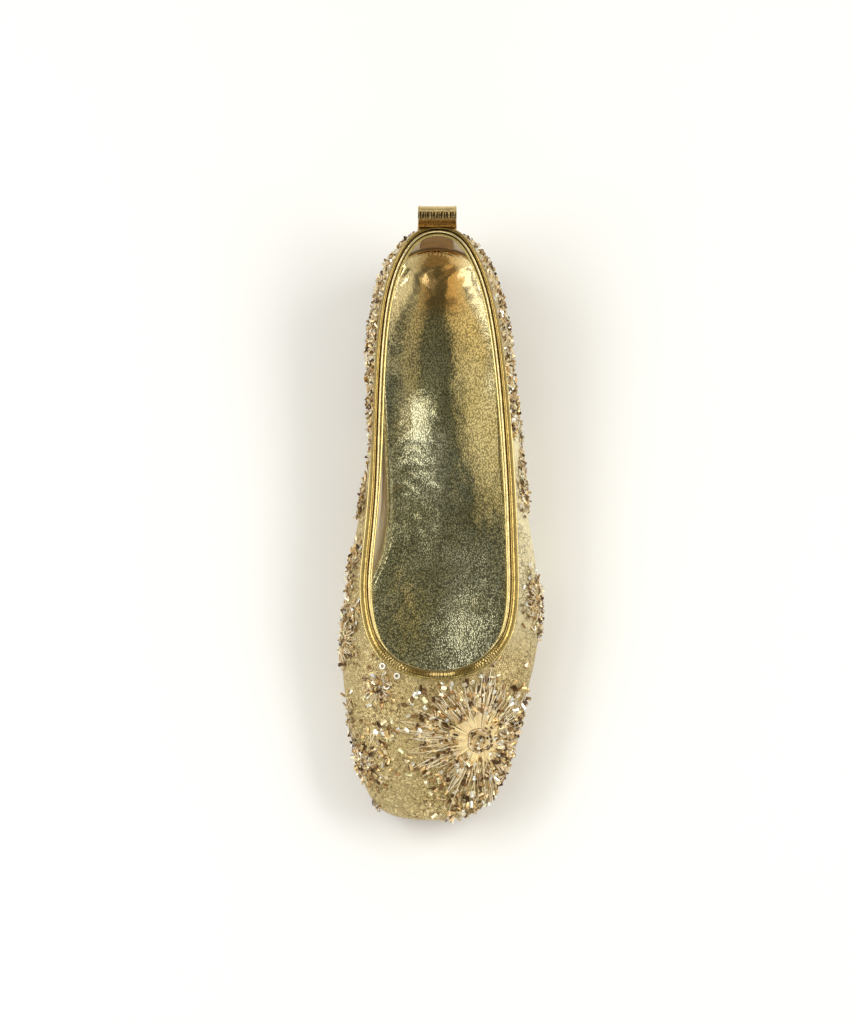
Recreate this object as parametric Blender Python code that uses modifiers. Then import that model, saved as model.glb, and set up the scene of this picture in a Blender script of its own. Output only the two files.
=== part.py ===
"""Ballet flat for the left foot, as an assembly of separate pieces.

Metres, +Z up. The toe points to -Y, the outer (lateral) side of the foot is +X, and the tread lies on z = 0.
Every form comes from one last: a feather line where the upper meets the sole, a topline round the opening,
and a curved rib between the two at each place round the shoe.
"""

import math
from collections import namedtuple

import bmesh
import bpy
import numpy as np
from mathutils import Vector
from mathutils.bvhtree import BVHTree

# Driving sizes of the last
LENGTH = 0.2445  # back of the heel to the tip of the toe
BALL_WIDTH = 0.081  # widest part of the upper
BACK_HEIGHT = 0.0519  # topline above the floor at the heel
INSTEP_HEIGHT = 0.0345  # topline above the floor at the throat
HEEL_HEIGHT = 0.0105  # heel seat above the floor
TOE_SPRING = 0.0055  # lift of the toe tip

# Thicknesses and clearances
GAP = 0.0003  # between pieces that touch
WALL = 0.0018  # upper: net, metallic backing and lining together
SOLE_THICKNESS = 0.0032
INSOLE_THICKNESS = 0.0026
BINDING_LEATHER = 0.0007
STRAP_LEATHER = 0.0011
TAPE_THICKNESS = 0.0007

# Lengthwise places, as shares of LENGTH from the heel
SEAT_END = 0.22
HEEL_BREAST = 0.245
TREAD_BACK = 0.57
TREAD_FRONT = 0.75

# Numbers of faces
RIBS = 84
FEATHER_WEIGHT = 0.8  # how far the ribs are spaced by the feather line rather than by the topline
WALL_BANDS = 8

# Cross-sections of the last, from heel to toe. The lengthwise columns are shares of LENGTH, the sideways
# ones shares of BALL_WIDTH, and top_rise is the topline's share of the way from instep to back height.
Section = namedtuple(
    "Section", "name along lateral medial top_along top_lateral top_medial top_rise"
)
SECTIONS = (
    Section("heel back", 0.010, 0.000, 0.000, 0.0184, 0.004, -0.004, 1.000),
    Section("heel round", 0.035, 0.212, 0.206, 0.0370, 0.136, 0.131, 0.946),
    Section("heel side", 0.098, 0.301, 0.290, 0.0960, 0.233, 0.229, 0.764),
    Section("seat", 0.188, 0.338, 0.319, 0.188, 0.299, 0.282, 0.489),
    Section("breast", 0.278, 0.356, 0.316, 0.278, 0.331, 0.300, 0.271),
    Section("waist", 0.376, 0.370, 0.300, 0.376, 0.353, 0.310, 0.121),
    Section("waist front", 0.466, 0.399, 0.312, 0.466, 0.367, 0.322, 0.040),
    Section("ball back", 0.556, 0.450, 0.368, 0.552, 0.374, 0.344, -0.012),
    Section("ball", 0.646, 0.485, 0.428, 0.625, 0.376, 0.357, -0.041),
    Section("toe root", 0.736, 0.457, 0.448, 0.683, 0.353, 0.332, -0.052),
    Section("toe side", 0.834, 0.379, 0.417, 0.723, 0.289, 0.277, -0.041),
    Section("toe round", 0.926, 0.299, 0.360, 0.7505, 0.185, 0.175, -0.017),
    Section("toe corner", 0.977, 0.202, 0.275, 0.7610, 0.094, 0.077, -0.003),
    Section("toe tip", 0.995, -0.028, 0.028, 0.7637, 0.012, -0.012, 0.000),
)

# How the wall bulges at the same sections, in metres: how far a rib swings out and up as it leaves the
# feather line, and how far it stands out and drops as it comes down from the topline.
Bulge = namedtuple("Bulge", "low_lateral low_medial low_rise high_lateral high_medial high_drop")
BULGES = (
    Bulge(0.0040, 0.0040, 0.0130, 0.0050, 0.0050, 0.0140),
    Bulge(0.0038, 0.0038, 0.0130, 0.0050, 0.0050, 0.0135),
    Bulge(0.0038, 0.0038, 0.0130, 0.0050, 0.0045, 0.0125),
    Bulge(0.0049, 0.0048, 0.0120, 0.0055, 0.0048, 0.0110),
    Bulge(0.0060, 0.0045, 0.0110, 0.0065, 0.0037, 0.0100),
    Bulge(0.0070, 0.0041, 0.0105, 0.0075, 0.0040, 0.0090),
    Bulge(0.0075, 0.0075, 0.0110, 0.0080, 0.0070, 0.0085),
    Bulge(0.0077, 0.0088, 0.0120, 0.0090, 0.0080, 0.0080),
    Bulge(0.0070, 0.0062, 0.0130, 0.0095, 0.0090, 0.0080),
    Bulge(0.0070, 0.0066, 0.0140, 0.0105, 0.0105, 0.0080),
    Bulge(0.0070, 0.0070, 0.0150, 0.0140, 0.0140, 0.0080),
    Bulge(0.0078, 0.0078, 0.0165, 0.0200, 0.0200, 0.0075),
    Bulge(0.0080, 0.0080, 0.0180, 0.0250, 0.0250, 0.0070),
    Bulge(0.0080, 0.0080, 0.0185, 0.0280, 0.0280, 0.0070),
)

# Upper at the sole
FEATHER_RADIUS = 0.0024
FEATHER_TURNS = (0, 30, 60)  # degrees round the edge at each row of points
LASTING_MARGIN = 0.0065

# Outsole edge: how far each ring lies inside the feather line, and its share of the way from top to bottom
SoleRing = namedtuple("SoleRing", "inset depth")
SOLE_RINGS = (
    SoleRing(0.0016, 0.0),
    SoleRing(0.0008, 0.12),
    SoleRing(0.0010, 0.85),
    SoleRing(0.0020, 1.0),
)
SOLE_STATIONS = 40
SOLE_ACROSS = 4
BREAST_SLOPE = 0.0012  # length over which the front of the heel drops to the floor
BREAST_CLEARANCE = 0.006  # share of the ring round the heel's front that has no other station

# Insole
INSOLE_INSET = 0.0026
INSOLE_BEVEL = 0.0008
INSOLE_STATIONS = 32
INSOLE_ACROSS = 6
HEEL_CUP = 0.0045
WAIST_CUP = 0.0025
FOREFOOT_CUP = 0.0008

# Binding
BINDING_FLANGE = 0.0022
BINDING_ROLL = 0.0018
ROLL_STEPS = 5

# Pull loop: a strap sewn down the back seam, that folds over above the binding
LOOP_WIDTH = 0.0158
LOOP_RISE = 0.0105  # above the binding
LOOP_DEPTH = 0.0046  # front leg to back leg, middle to middle
LOOP_NECK = 0.0025  # height above the binding where both legs are apart
LOOP_TUCK = 0.0010  # how far the end of the front leg comes forward over the binding
LOOP_TAIL_LOW = 0.55  # shares of the way up the wall where the sewn part starts and ends
LOOP_TAIL_HIGH = 0.86
LOOP_HUG = 0.88  # share of the heel's rounding that the sewn part follows
LOOP_STEPS = 8
LOOP_TAIL_STEPS = 4
LOOP_ACROSS = 4

# Heel tape
TAPE_WIDTH = 0.0130
TAPE_CLEARANCE = 0.0007  # to the binding and to the insole
TAPE_ACROSS = 4
TAPE_DOWN = 5

# Embroidered flowers: centre as a share of the way round (heel, lateral, toe, medial) and up the wall,
# radius of the bare centre, radius to the ray tips, number of rays and of faces along a ray
Flower = namedtuple("Flower", "name around up bare reach rays steps")
FLOWERS = (
    Flower("flower_vamp", 0.461, 0.62, 0.0080, 0.0190, 20, 4),
    Flower("flower_medial_vamp", 0.572, 0.78, 0.0026, 0.0080, 9, 2),
    Flower("flower_medial_toe", 0.557, 0.30, 0.0030, 0.0082, 9, 3),
    Flower("flower_medial_ball", 0.650, 0.46, 0.0034, 0.0110, 9, 2),
    Flower("flower_medial_waist", 0.765, 0.46, 0.0030, 0.0100, 9, 2),
    Flower("flower_medial_heel", 0.890, 0.46, 0.0034, 0.0120, 9, 2),
    Flower("flower_lateral_heel", 0.100, 0.46, 0.0034, 0.0120, 9, 2),
    Flower("flower_lateral_waist", 0.225, 0.46, 0.0030, 0.0100, 9, 2),
    Flower("flower_lateral_ball", 0.320, 0.44, 0.0034, 0.0110, 9, 2),
)
FLOWER_HEIGHT = 0.0013
FLOWER_GAP = 0.00045  # below the corners of a flower, so that its flat faces also clear the curved wall
FLOWER_VALLEY = 0.72  # where the notch between two rays ends, as a share of the way out to the tips
VALLEY_HEIGHT = 0.6  # height between two rays and at the rims, as a share of the height along a ray
WALK_STEP = 0.0012


def closed_spline(knots, period, values):
    """Cubic curve through the values at the knots, smooth all the way round. Returns a function of t."""
    count = len(knots)
    gaps = np.diff(np.append(knots, knots[0] + period))
    system = np.zeros((count, count))
    right = np.zeros(values.shape)
    for i in range(count):
        after = (i + 1) % count
        system[i, i - 1] += gaps[i - 1]
        system[i, i] += 2 * (gaps[i - 1] + gaps[i])
        system[i, after] += gaps[i]
        rise_after = (values[after] - values[i]) / gaps[i]
        rise_before = (values[i] - values[i - 1]) / gaps[i - 1]
        right[i] = 6 * (rise_after - rise_before)
    bend = np.linalg.solve(system, right)

    def at(t):
        t = np.mod(np.asarray(t, float) - knots[0], period) + knots[0]
        i = np.clip(np.searchsorted(knots, t, side="right") - 1, 0, count - 1)
        after = (i + 1) % count
        gap = gaps[i][:, None]
        b = (t - knots[i])[:, None] / gap
        a = 1 - b
        curve = (a**3 - a) * bend[i] + (b**3 - b) * bend[after]
        return a * values[i] + b * values[after] + curve * gap**2 / 6

    return at


def last_rows():
    """The sections as one ring of rows: heel, lateral side, toe, medial side. A row holds the feather
    point (x, y), the topline point (x, y, z) and the four bulge measures."""

    def row(section, bulge, lateral):
        foot = section.lateral if lateral else -section.medial
        top = section.top_lateral if lateral else -section.top_medial
        low = bulge.low_lateral if lateral else bulge.low_medial
        high = bulge.high_lateral if lateral else bulge.high_medial
        return (
            foot * BALL_WIDTH,
            -section.along * LENGTH,
            top * BALL_WIDTH,
            -section.top_along * LENGTH,
            INSTEP_HEIGHT + section.top_rise * (BACK_HEIGHT - INSTEP_HEIGHT),
            low,
            bulge.low_rise,
            high,
            bulge.high_drop,
        )

    pairs = list(zip(SECTIONS, BULGES))
    lateral_rows = [row(section, bulge, True) for section, bulge in pairs]
    medial_rows = [row(section, bulge, False) for section, bulge in pairs[-2:0:-1]]
    return np.array(lateral_rows + medial_rows)


def ring_knots(rows):
    """Places of the rows round the ring, the same on both sides: by chords, mostly of the feather line."""
    half = len(SECTIONS)
    chords = np.zeros(half - 1)
    for i in range(half - 1):
        mirrored = (len(rows) - i) % len(rows), (len(rows) - i - 1) % len(rows)
        for near, far in ((i, i + 1), mirrored):
            for columns, weight in ((slice(0, 2), FEATHER_WEIGHT), (slice(2, 4), 1 - FEATHER_WEIGHT)):
                chords[i] += weight * np.linalg.norm(rows[far, columns] - rows[near, columns])
    out = np.concatenate([[0], np.cumsum(chords)])
    back = 2 * out[-1] - out[-2:0:-1]
    return np.concatenate([out, back]) / (2 * out[-1])


ROWS = last_rows()
LAST = closed_spline(ring_knots(ROWS), 1.0, ROWS)
Ring = namedtuple("Ring", "foot top foot_out top_out low_out low_rise high_out high_drop")


def ring_at(t):
    """The last at the places t round the shoe, from 0 at the heel by the lateral side to 0.5 at the toe."""
    t = np.asarray(t, float)
    step = 1e-4
    row = LAST(t)
    along = (LAST(t + step) - LAST(t - step)) / (2 * step)

    def outward(tangent):
        normal = np.stack([-tangent[:, 1], tangent[:, 0], np.zeros(len(tangent))], 1)
        return normal / np.linalg.norm(normal, axis=1)[:, None]

    foot = np.column_stack([row[:, :2], np.zeros(len(t))])
    columns = [row[:, i : i + 1] for i in range(5, 9)]
    return Ring(foot, row[:, 2:5], outward(along[:, :2]), outward(along[:, 2:4]), *columns)


def smoothstep(x):
    x = np.clip(x, 0.0, 1.0)
    return x * x * (3 - 2 * x)


def feather_height(y):
    """Underside of the upper above the floor: level heel seat, arch, level tread and toe spring."""
    along = -np.asarray(y) / LENGTH
    tread = SOLE_THICKNESS + GAP
    arch = smoothstep((TREAD_BACK - along) / (TREAD_BACK - SEAT_END))
    toe = np.clip((along - TREAD_FRONT) / (1 - TREAD_FRONT), 0, 1) ** 2
    return tread + (HEEL_HEIGHT - tread) * arch + TOE_SPRING * toe


def on_feather_plane(points):
    """The points, lowered or raised to the underside of the upper."""
    points = points.copy()
    points[:, 2] = feather_height(points[:, 1])
    return points


UP = np.array([0.0, 0.0, 1.0])


def wall(t, v):
    """Outer surface of the upper at places t round the shoe and shares v of the way up the wall."""
    ring = ring_at(t)
    v = np.asarray(v, float).reshape(-1, 1)
    start = on_feather_plane(ring.foot) + UP * FEATHER_RADIUS
    low = start + ring.foot_out * ring.low_out + UP * ring.low_rise
    high = ring.top + ring.top_out * ring.high_out - UP * ring.high_drop
    a = 1 - v
    return a**3 * start + 3 * a**2 * v * low + 3 * a * v**2 * high + v**3 * ring.top


def wall_normal(t, v):
    """Outward unit normal of the wall."""
    t, v = np.broadcast_arrays(np.asarray(t, float), np.asarray(v, float))
    step = 1e-4
    above, below = np.clip(v + step, 0, 1), np.clip(v - step, 0, 1)
    up = wall(t, above) - wall(t, below)
    around = wall(t + step, v) - wall(t - step, v)
    normal = np.cross(up, around)
    return normal / np.linalg.norm(normal, axis=1)[:, None]


def upper_rows(t):
    """Rows of points from the lasting margin, round the feather edge and up to the topline."""
    ring = ring_at(t)
    rows = [on_feather_plane(ring.foot - ring.foot_out * LASTING_MARGIN)]
    for turn in np.radians(FEATHER_TURNS):
        inset = FEATHER_RADIUS * (1 - math.sin(turn))
        point = on_feather_plane(ring.foot - ring.foot_out * inset)
        rows.append(point + UP * FEATHER_RADIUS * (1 - math.cos(turn)))
    for v in np.linspace(0, 1, WALL_BANDS + 1):
        rows.append(wall(t, np.full(len(t), v)))
    return rows


def material(name, colour, roughness, metallic):
    made = bpy.data.materials.new(name)
    made.use_nodes = True
    shader = made.node_tree.nodes["Principled BSDF"]
    shader.inputs["Base Color"].default_value = (*colour, 1.0)
    shader.inputs["Roughness"].default_value = roughness
    shader.inputs["Metallic"].default_value = metallic
    made.diffuse_color = (*colour, 1.0)
    return made


def add_object(name, mesh_builder, finish):
    """A named object from a bmesh, shaded smooth with its hard edges kept."""
    mesh = bpy.data.meshes.new(name)
    mesh_builder.to_mesh(mesh)
    mesh_builder.free()
    mesh.shade_smooth()
    mesh.set_sharp_from_angle(angle=math.radians(40))
    mesh.materials.append(finish)
    made = bpy.data.objects.new(name, mesh)
    PARTS.objects.link(made)
    made.parent = ORIGIN
    return made


def add_solidify(made, thickness, offset):
    shell = made.modifiers.new("thickness", "SOLIDIFY")
    shell.thickness = thickness
    shell.offset = offset
    shell.use_even_offset = True


def grid_surface(rows, closed):
    """Open surface through rows of points. Its faces point out when rows climb and points run clockwise."""
    builder = bmesh.new()
    verts = [[builder.verts.new(p) for p in row] for row in rows]
    count = len(rows[0])
    for low, high in zip(verts, verts[1:]):
        for i in range(count if closed else count - 1):
            after = (i + 1) % count
            builder.faces.new((low[i], high[i], high[after], low[after]))
    return builder


def face_outward(builder):
    """Turns the faces of a closed body so that all of them point out."""
    bmesh.ops.recalc_face_normals(builder, faces=builder.faces)
    if builder.calc_volume(signed=True) < 0:
        bmesh.ops.reverse_faces(builder, faces=builder.faces)


def band_body(rings):
    """Closed ring-shaped body: each entry is one corner of its section, as a loop of points round the shoe."""
    builder = bmesh.new()
    verts = [[builder.verts.new(p) for p in ring] for ring in rings]
    count = len(rings[0])
    for low, high in zip(verts, verts[1:] + verts[:1]):
        for i in range(count):
            after = (i + 1) % count
            builder.faces.new((low[i], high[i], high[after], low[after]))
    face_outward(builder)
    return builder


def fill_sheet(builder, edge, height, across):
    """Sheet of faces inside an edge ring that starts at the heel, in rows from one side to the other.
    height(share across from the medial side, station, y) gives the level of an inner point."""
    half = len(edge) // 2
    rows = [[edge[0]]]
    for station in range(1, half):
        lateral, medial = edge[station], edge[len(edge) - station]
        row = [medial]
        for c in range(1, across):
            share = c / across
            point = medial.co.lerp(lateral.co, share)
            point.z = height(share, station, point.y)
            row.append(builder.verts.new(point))
        rows.append(row + [lateral])
    rows.append([edge[half]])
    for near, far in zip(rows, rows[1:]):
        for c in range(across):
            corners = [near[min(c, len(near) - 1)], near[min(c + 1, len(near) - 1)]]
            corners += [far[min(c + 1, len(far) - 1)], far[min(c, len(far) - 1)]]
            builder.faces.new(list(dict.fromkeys(corners)))


def slab_body(rings, top_height, bottom_height, across):
    """Closed flat body from edge rings, top one first, filled above and below."""
    builder = bmesh.new()
    verts = [[builder.verts.new(p) for p in ring] for ring in rings]
    count = len(rings[0])
    for high, low in zip(verts, verts[1:]):
        for i in range(count):
            after = (i + 1) % count
            builder.faces.new((low[i], high[i], high[after], low[after]))
    fill_sheet(builder, verts[0], top_height, across)
    fill_sheet(builder, verts[-1], bottom_height, across)
    face_outward(builder)
    return builder


def both_sides(half_places):
    """Places round the whole ring from those of the lateral side, heel and toe included once."""
    return np.concatenate([half_places, 1 - half_places[-2:0:-1]])


def upper_surface():
    """Outer faces of the upper."""
    builder = grid_surface(upper_rows(np.arange(RIBS) / RIBS), closed=True)
    bmesh.ops.triangulate(builder, faces=builder.faces)
    builder.normal_update()
    return builder


def make_upper(finish):
    made = add_object("upper", upper_surface(), finish)
    add_solidify(made, WALL, -1)
    return made


def make_outsole(finish):
    """Thin sole with a low heel: level under the heel and the forefoot, arched between, sprung at the toe."""
    breast = np.array([HEEL_BREAST * LENGTH, HEEL_BREAST * LENGTH + BREAST_SLOPE])
    dense = np.linspace(0, 0.5, 2000)
    edges = np.interp(breast, -ring_at(dense).foot[:, 1], dense)
    half = np.linspace(0, 0.5, SOLE_STATIONS)
    half = half[np.abs(half - edges.mean()) > BREAST_CLEARANCE]
    ring = ring_at(both_sides(np.sort(np.concatenate([half, edges]))))
    under_heel = -ring.foot[:, 1] < breast.mean()

    def bottom(y, heel):
        return np.where(heel, 0.0, feather_height(y) - GAP - SOLE_THICKNESS)

    rings = []
    for inset, depth in SOLE_RINGS:
        points = on_feather_plane(ring.foot - ring.foot_out * inset) - UP * GAP
        low = bottom(points[:, 1], under_heel)
        points[:, 2] += (low - points[:, 2]) * depth
        rings.append(points)

    def top_height(share, station, y):
        return float(feather_height(y)) - GAP

    def bottom_height(share, station, y):
        return float(bottom(y, under_heel[station]))

    return add_object("outsole", slab_body(rings, top_height, bottom_height, SOLE_ACROSS), finish)


def insole_cup(y):
    """How far the edge of the insole turns up: most round the heel, least at the toes."""
    along = -np.asarray(y) / LENGTH
    back = smoothstep((TREAD_BACK - along) / (TREAD_BACK - SEAT_END))
    heel = smoothstep((SEAT_END - along) / SEAT_END)
    return FOREFOOT_CUP + (WAIST_CUP - FOREFOOT_CUP) * back + (HEEL_CUP - WAIST_CUP) * heel


def make_insole(finish):
    """Padded sock on its board. The edge lies on the lasting margin and turns up against the wall, and
    the middle reaches down between the margins to the outsole."""
    places = both_sides(np.linspace(0, 0.5, INSOLE_STATIONS))
    ring = ring_at(places)
    board = -(WALL + GAP)

    def base(y):
        return feather_height(y) + WALL + GAP

    def level(inset, rise):
        points = ring.foot - ring.foot_out * inset
        points[:, 2] = base(points[:, 1]) + rise(points[:, 1])
        return points

    rings = [
        level(INSOLE_INSET + INSOLE_BEVEL, lambda y: INSOLE_THICKNESS + insole_cup(y)),
        level(INSOLE_INSET, lambda y: INSOLE_THICKNESS + insole_cup(y) - INSOLE_BEVEL),
        level(INSOLE_INSET, lambda y: INSOLE_BEVEL),
        level(INSOLE_INSET + INSOLE_BEVEL, lambda y: 0 * y),
        level(LASTING_MARGIN + 2 * GAP, lambda y: 0 * y),
        level(LASTING_MARGIN + 2 * GAP, lambda y: 0 * y + board),
    ]

    def top_height(share, station, y):
        dish = abs(2 * share - 1) ** 3
        return float(base(y) + INSOLE_THICKNESS + insole_cup(y) * dish)

    def bottom_height(share, station, y):
        return float(base(y) + board)

    return add_object("insole", slab_body(rings, top_height, bottom_height, INSOLE_ACROSS), finish)


def topline_frame(places):
    """Middle of the wall's cut edge, with the directions out of the wall and off its edge."""
    ones = np.ones(len(places))
    edge = wall(places, ones)
    out = wall_normal(places, ones)
    off = edge - wall(places, ones * (1 - 1e-3))
    off /= np.linalg.norm(off, axis=1)[:, None]
    return edge - out * WALL / 2, out, off


def binding_section():
    """Corners of the binding's section as (out of the wall, off its edge): a channel under a round roll."""
    slot = WALL / 2 + GAP
    side = slot + BINDING_LEATHER
    chamfer = BINDING_LEATHER / 3
    outside = [(side - chamfer, -BINDING_FLANGE - chamfer), (side, -BINDING_FLANGE)]
    for turn in np.linspace(0, math.pi, ROLL_STEPS):
        outside.append((side * math.cos(turn), GAP + BINDING_ROLL * math.sin(turn)))
    outside += [(-side, -BINDING_FLANGE), (chamfer - side, -BINDING_FLANGE - chamfer)]
    inside = [(-slot, -BINDING_FLANGE), (-slot, GAP), (slot, GAP), (slot, -BINDING_FLANGE)]
    return outside + inside


def make_binding(finish):
    places = np.arange(RIBS) / RIBS
    middle, out, off = topline_frame(places)
    rings = [middle + out * across + off * up for across, up in binding_section()]
    return add_object("topline_binding", band_body(rings), finish)


def heel_rounding(x):
    """How far the back of the heel curves away to the toe at a distance x from its seam."""
    places = np.linspace(-0.06, 0.06, 61)
    line = wall(places, np.full(len(places), LOOP_TAIL_HIGH))
    return np.interp(0.0, line[:, 0], line[:, 1]) - np.interp(x, line[:, 0], line[:, 1])


def loop_path():
    """Middle line of the strap in the plane of the back seam: up the heel, round the fold, down to the
    binding. Each point is (y, z, share of the heel's rounding that the strap follows there)."""
    middle, out, off = (vectors[0] for vectors in topline_frame(np.zeros(1)))
    clear = GAP + STRAP_LEATHER / 2
    beside = middle + out * (WALL / 2 + GAP + BINDING_LEATHER + clear) - off * BINDING_FLANGE
    top = middle + off * (GAP + BINDING_ROLL)
    front = top[1] + LOOP_DEPTH / 2 + clear
    back = front + LOOP_DEPTH
    shares = np.linspace(LOOP_TAIL_LOW, LOOP_TAIL_HIGH, LOOP_TAIL_STEPS)
    seam = np.zeros(LOOP_TAIL_STEPS)
    tail = wall(seam, shares) + wall_normal(seam, shares) * clear
    path = [(y, z, LOOP_HUG) for _, y, z in tail]
    path.append((beside[1], beside[2], LOOP_HUG * 0.9))
    path.append((beside[1] + 0.6 * (back - beside[1]), (beside[2] + top[2]) / 2, LOOP_HUG * 0.6))
    path.append((back, top[2] + LOOP_NECK, LOOP_HUG * 0.1))
    fold = top[2] + LOOP_RISE - LOOP_DEPTH / 2
    for turn in np.linspace(0, math.pi, LOOP_STEPS):
        y = (front + back) / 2 + LOOP_DEPTH / 2 * math.cos(turn)
        path.append((y, fold + LOOP_DEPTH / 2 * math.sin(turn), 0.0))
    path.append((front, top[2] + LOOP_NECK, 0.0))
    path.append((front - LOOP_TUCK, top[2] + clear, 0.0))
    return path


def make_pull_loop(finish):
    across = np.linspace(-LOOP_WIDTH / 2, LOOP_WIDTH / 2, LOOP_ACROSS + 1)
    drop = heel_rounding(across)
    rows = [[(x, y - d * hug, z) for x, d in zip(across, drop)] for y, z, hug in loop_path()]
    made = add_object("pull_loop", grid_surface(rows, closed=False), finish)
    add_solidify(made, STRAP_LEATHER, 0)
    return made


def make_heel_tape(finish):
    """Strip on the inside of the back wall, from the binding down to the edge of the insole."""
    shares = np.linspace(0, 1, 200)
    rib = wall(np.zeros(len(shares)), shares)
    climbed = np.concatenate([[0], np.cumsum(np.linalg.norm(np.diff(rib, axis=0), axis=1))])
    insole_edge = feather_height(0.0) + WALL + GAP + INSOLE_THICKNESS + HEEL_CUP
    low = np.interp(insole_edge + TAPE_CLEARANCE, rib[:, 2], shares)
    high = np.interp(climbed[-1] - BINDING_FLANGE - TAPE_CLEARANCE, climbed, shares)
    near_seam = np.linspace(-0.03, 0.03, 61)
    across = wall(near_seam, np.full(len(near_seam), (low + high) / 2))[:, 0]
    places = np.interp(np.linspace(-TAPE_WIDTH / 2, TAPE_WIDTH / 2, TAPE_ACROSS + 1), across, near_seam)
    depth = WALL + GAP + TAPE_THICKNESS / 2
    rows = []
    for v in np.linspace(low, high, TAPE_DOWN + 1):
        level = np.full(len(places), v)
        rows.append(wall(places, level) - wall_normal(places, level) * depth)
    made = add_object("heel_tape", grid_surface(rows, closed=False), finish)
    add_solidify(made, TAPE_THICKNESS, 0)
    return made


def upper_tree():
    """Search tree of the upper's outer faces."""
    builder = upper_surface()
    tree = BVHTree.FromBMesh(builder)
    builder.free()
    return tree


def walk_out(tree, start, heading, distances):
    """Points on the wall at the given distances from start, walking straight ahead over the surface."""
    found = []
    point, normal = tree.find_nearest(start)[:2]
    walked = 0.0
    for distance in distances:
        while walked < distance - 1e-9:
            step = min(WALK_STEP, distance - walked)
            heading = (heading - normal * heading.dot(normal)).normalized()
            point, normal = tree.find_nearest(point + heading * step)[:2]
            walked += step
        found.append((point.copy(), normal.copy()))
    return found


def make_flower(tree, flower, finish):
    """Raised ring of rays round a bare centre, lying on the wall."""
    spot = np.array([flower.around]), np.array([flower.up])
    centre, normal = Vector(wall(*spot)[0]), Vector(wall_normal(*spot)[0])
    across = normal.orthogonal().normalized()
    ahead = normal.cross(across)
    count = flower.rays * 2
    valley = flower.bare + (flower.reach - flower.bare) * FLOWER_VALLEY
    shares = np.linspace(0, 1, flower.steps + 1)
    low_rings, high_rings = [[] for _ in shares], [[] for _ in shares]
    for i in range(count):
        turn = 2 * math.pi * i / count
        on_ray = i % 2 == 0
        tip = flower.reach if on_ray else valley
        height = FLOWER_HEIGHT if on_ray else FLOWER_HEIGHT * VALLEY_HEIGHT
        heading = across * math.cos(turn) + ahead * math.sin(turn)
        stops = flower.bare + (tip - flower.bare) * shares
        for ring, (point, up) in enumerate(walk_out(tree, centre, heading, stops)):
            crown = math.sin(math.pi * shares[ring])
            rise = height * (VALLEY_HEIGHT + (1 - VALLEY_HEIGHT) * crown)
            low_rings[ring].append(point + up * FLOWER_GAP)
            high_rings[ring].append(point + up * (FLOWER_GAP + rise))
    builder = band_body(low_rings + high_rings[::-1])
    bmesh.ops.triangulate(builder, faces=builder.faces)
    return add_object(flower.name, builder, finish)


def centre_on_floor():
    """Moves the whole shoe so that its box stands centred on the origin."""
    bpy.context.view_layer.update()
    graph = bpy.context.evaluated_depsgraph_get()
    corners = []
    for made in PARTS.objects:
        if made.type == "MESH":
            shown = made.evaluated_get(graph)
            corners += [shown.matrix_world @ Vector(c) for c in shown.bound_box]
    box = np.array(corners)
    middle = (box.min(0) + box.max(0)) / 2
    ORIGIN.location = (-middle[0], -middle[1], 0)


for old in list(bpy.data.objects):
    bpy.data.objects.remove(old)
PARTS = bpy.data.collections.new("ballet_flat")
bpy.context.scene.collection.children.link(PARTS)
ORIGIN = bpy.data.objects.new("shoe_origin", None)
PARTS.objects.link(ORIGIN)

SOLE_FINISH = material("sole_leather", (0.55, 0.40, 0.22), 0.6, 0.0)
CLOTH_FINISH = material("gold_cloth", (0.52, 0.40, 0.18), 0.5, 0.4)
INSOLE_FINISH = material("gold_foil_leather", (0.62, 0.52, 0.28), 0.28, 1.0)
BINDING_FINISH = material("gold_binding", (0.66, 0.48, 0.16), 0.25, 1.0)
TAPE_FINISH = material("brown_tape", (0.20, 0.12, 0.045), 0.8, 0.0)
THREAD_FINISH = material("gold_thread", (0.50, 0.36, 0.16), 0.4, 0.5)

make_outsole(SOLE_FINISH)
make_upper(CLOTH_FINISH)
make_insole(INSOLE_FINISH)
make_binding(BINDING_FINISH)
make_pull_loop(BINDING_FINISH)
make_heel_tape(TAPE_FINISH)
UPPER_TREE = upper_tree()
for each in FLOWERS:
    make_flower(UPPER_TREE, each, THREAD_FINISH)
centre_on_floor()
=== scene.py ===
"""Looks of the gold ballet flat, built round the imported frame.

Metres, +Z up. The last is worked out in its own frame, with the back of the heel at y = 0, the toe to -Y and
the outer side of the left foot to +X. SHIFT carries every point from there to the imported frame.
"""

import math
from collections import namedtuple

import bpy
import numpy as np
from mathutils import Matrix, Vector
from mathutils.bvhtree import BVHTree


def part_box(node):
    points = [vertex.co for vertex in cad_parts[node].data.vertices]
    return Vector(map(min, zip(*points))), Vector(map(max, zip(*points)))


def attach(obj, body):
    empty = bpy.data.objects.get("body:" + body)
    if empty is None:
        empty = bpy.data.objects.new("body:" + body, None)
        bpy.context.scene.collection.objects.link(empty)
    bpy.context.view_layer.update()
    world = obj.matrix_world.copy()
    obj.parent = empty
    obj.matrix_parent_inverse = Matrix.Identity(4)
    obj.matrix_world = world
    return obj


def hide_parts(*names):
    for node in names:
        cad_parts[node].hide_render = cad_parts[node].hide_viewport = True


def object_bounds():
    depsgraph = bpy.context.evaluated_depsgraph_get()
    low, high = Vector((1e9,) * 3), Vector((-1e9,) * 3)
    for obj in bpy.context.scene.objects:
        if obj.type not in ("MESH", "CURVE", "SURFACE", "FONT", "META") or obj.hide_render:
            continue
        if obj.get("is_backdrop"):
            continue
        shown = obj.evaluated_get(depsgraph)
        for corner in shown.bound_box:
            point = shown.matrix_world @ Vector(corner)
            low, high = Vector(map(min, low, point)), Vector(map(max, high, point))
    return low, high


MM = 0.001
TINY = 1e-12
SLOPE_STEP = 1e-4  # for slopes along the last and its wall
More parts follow.
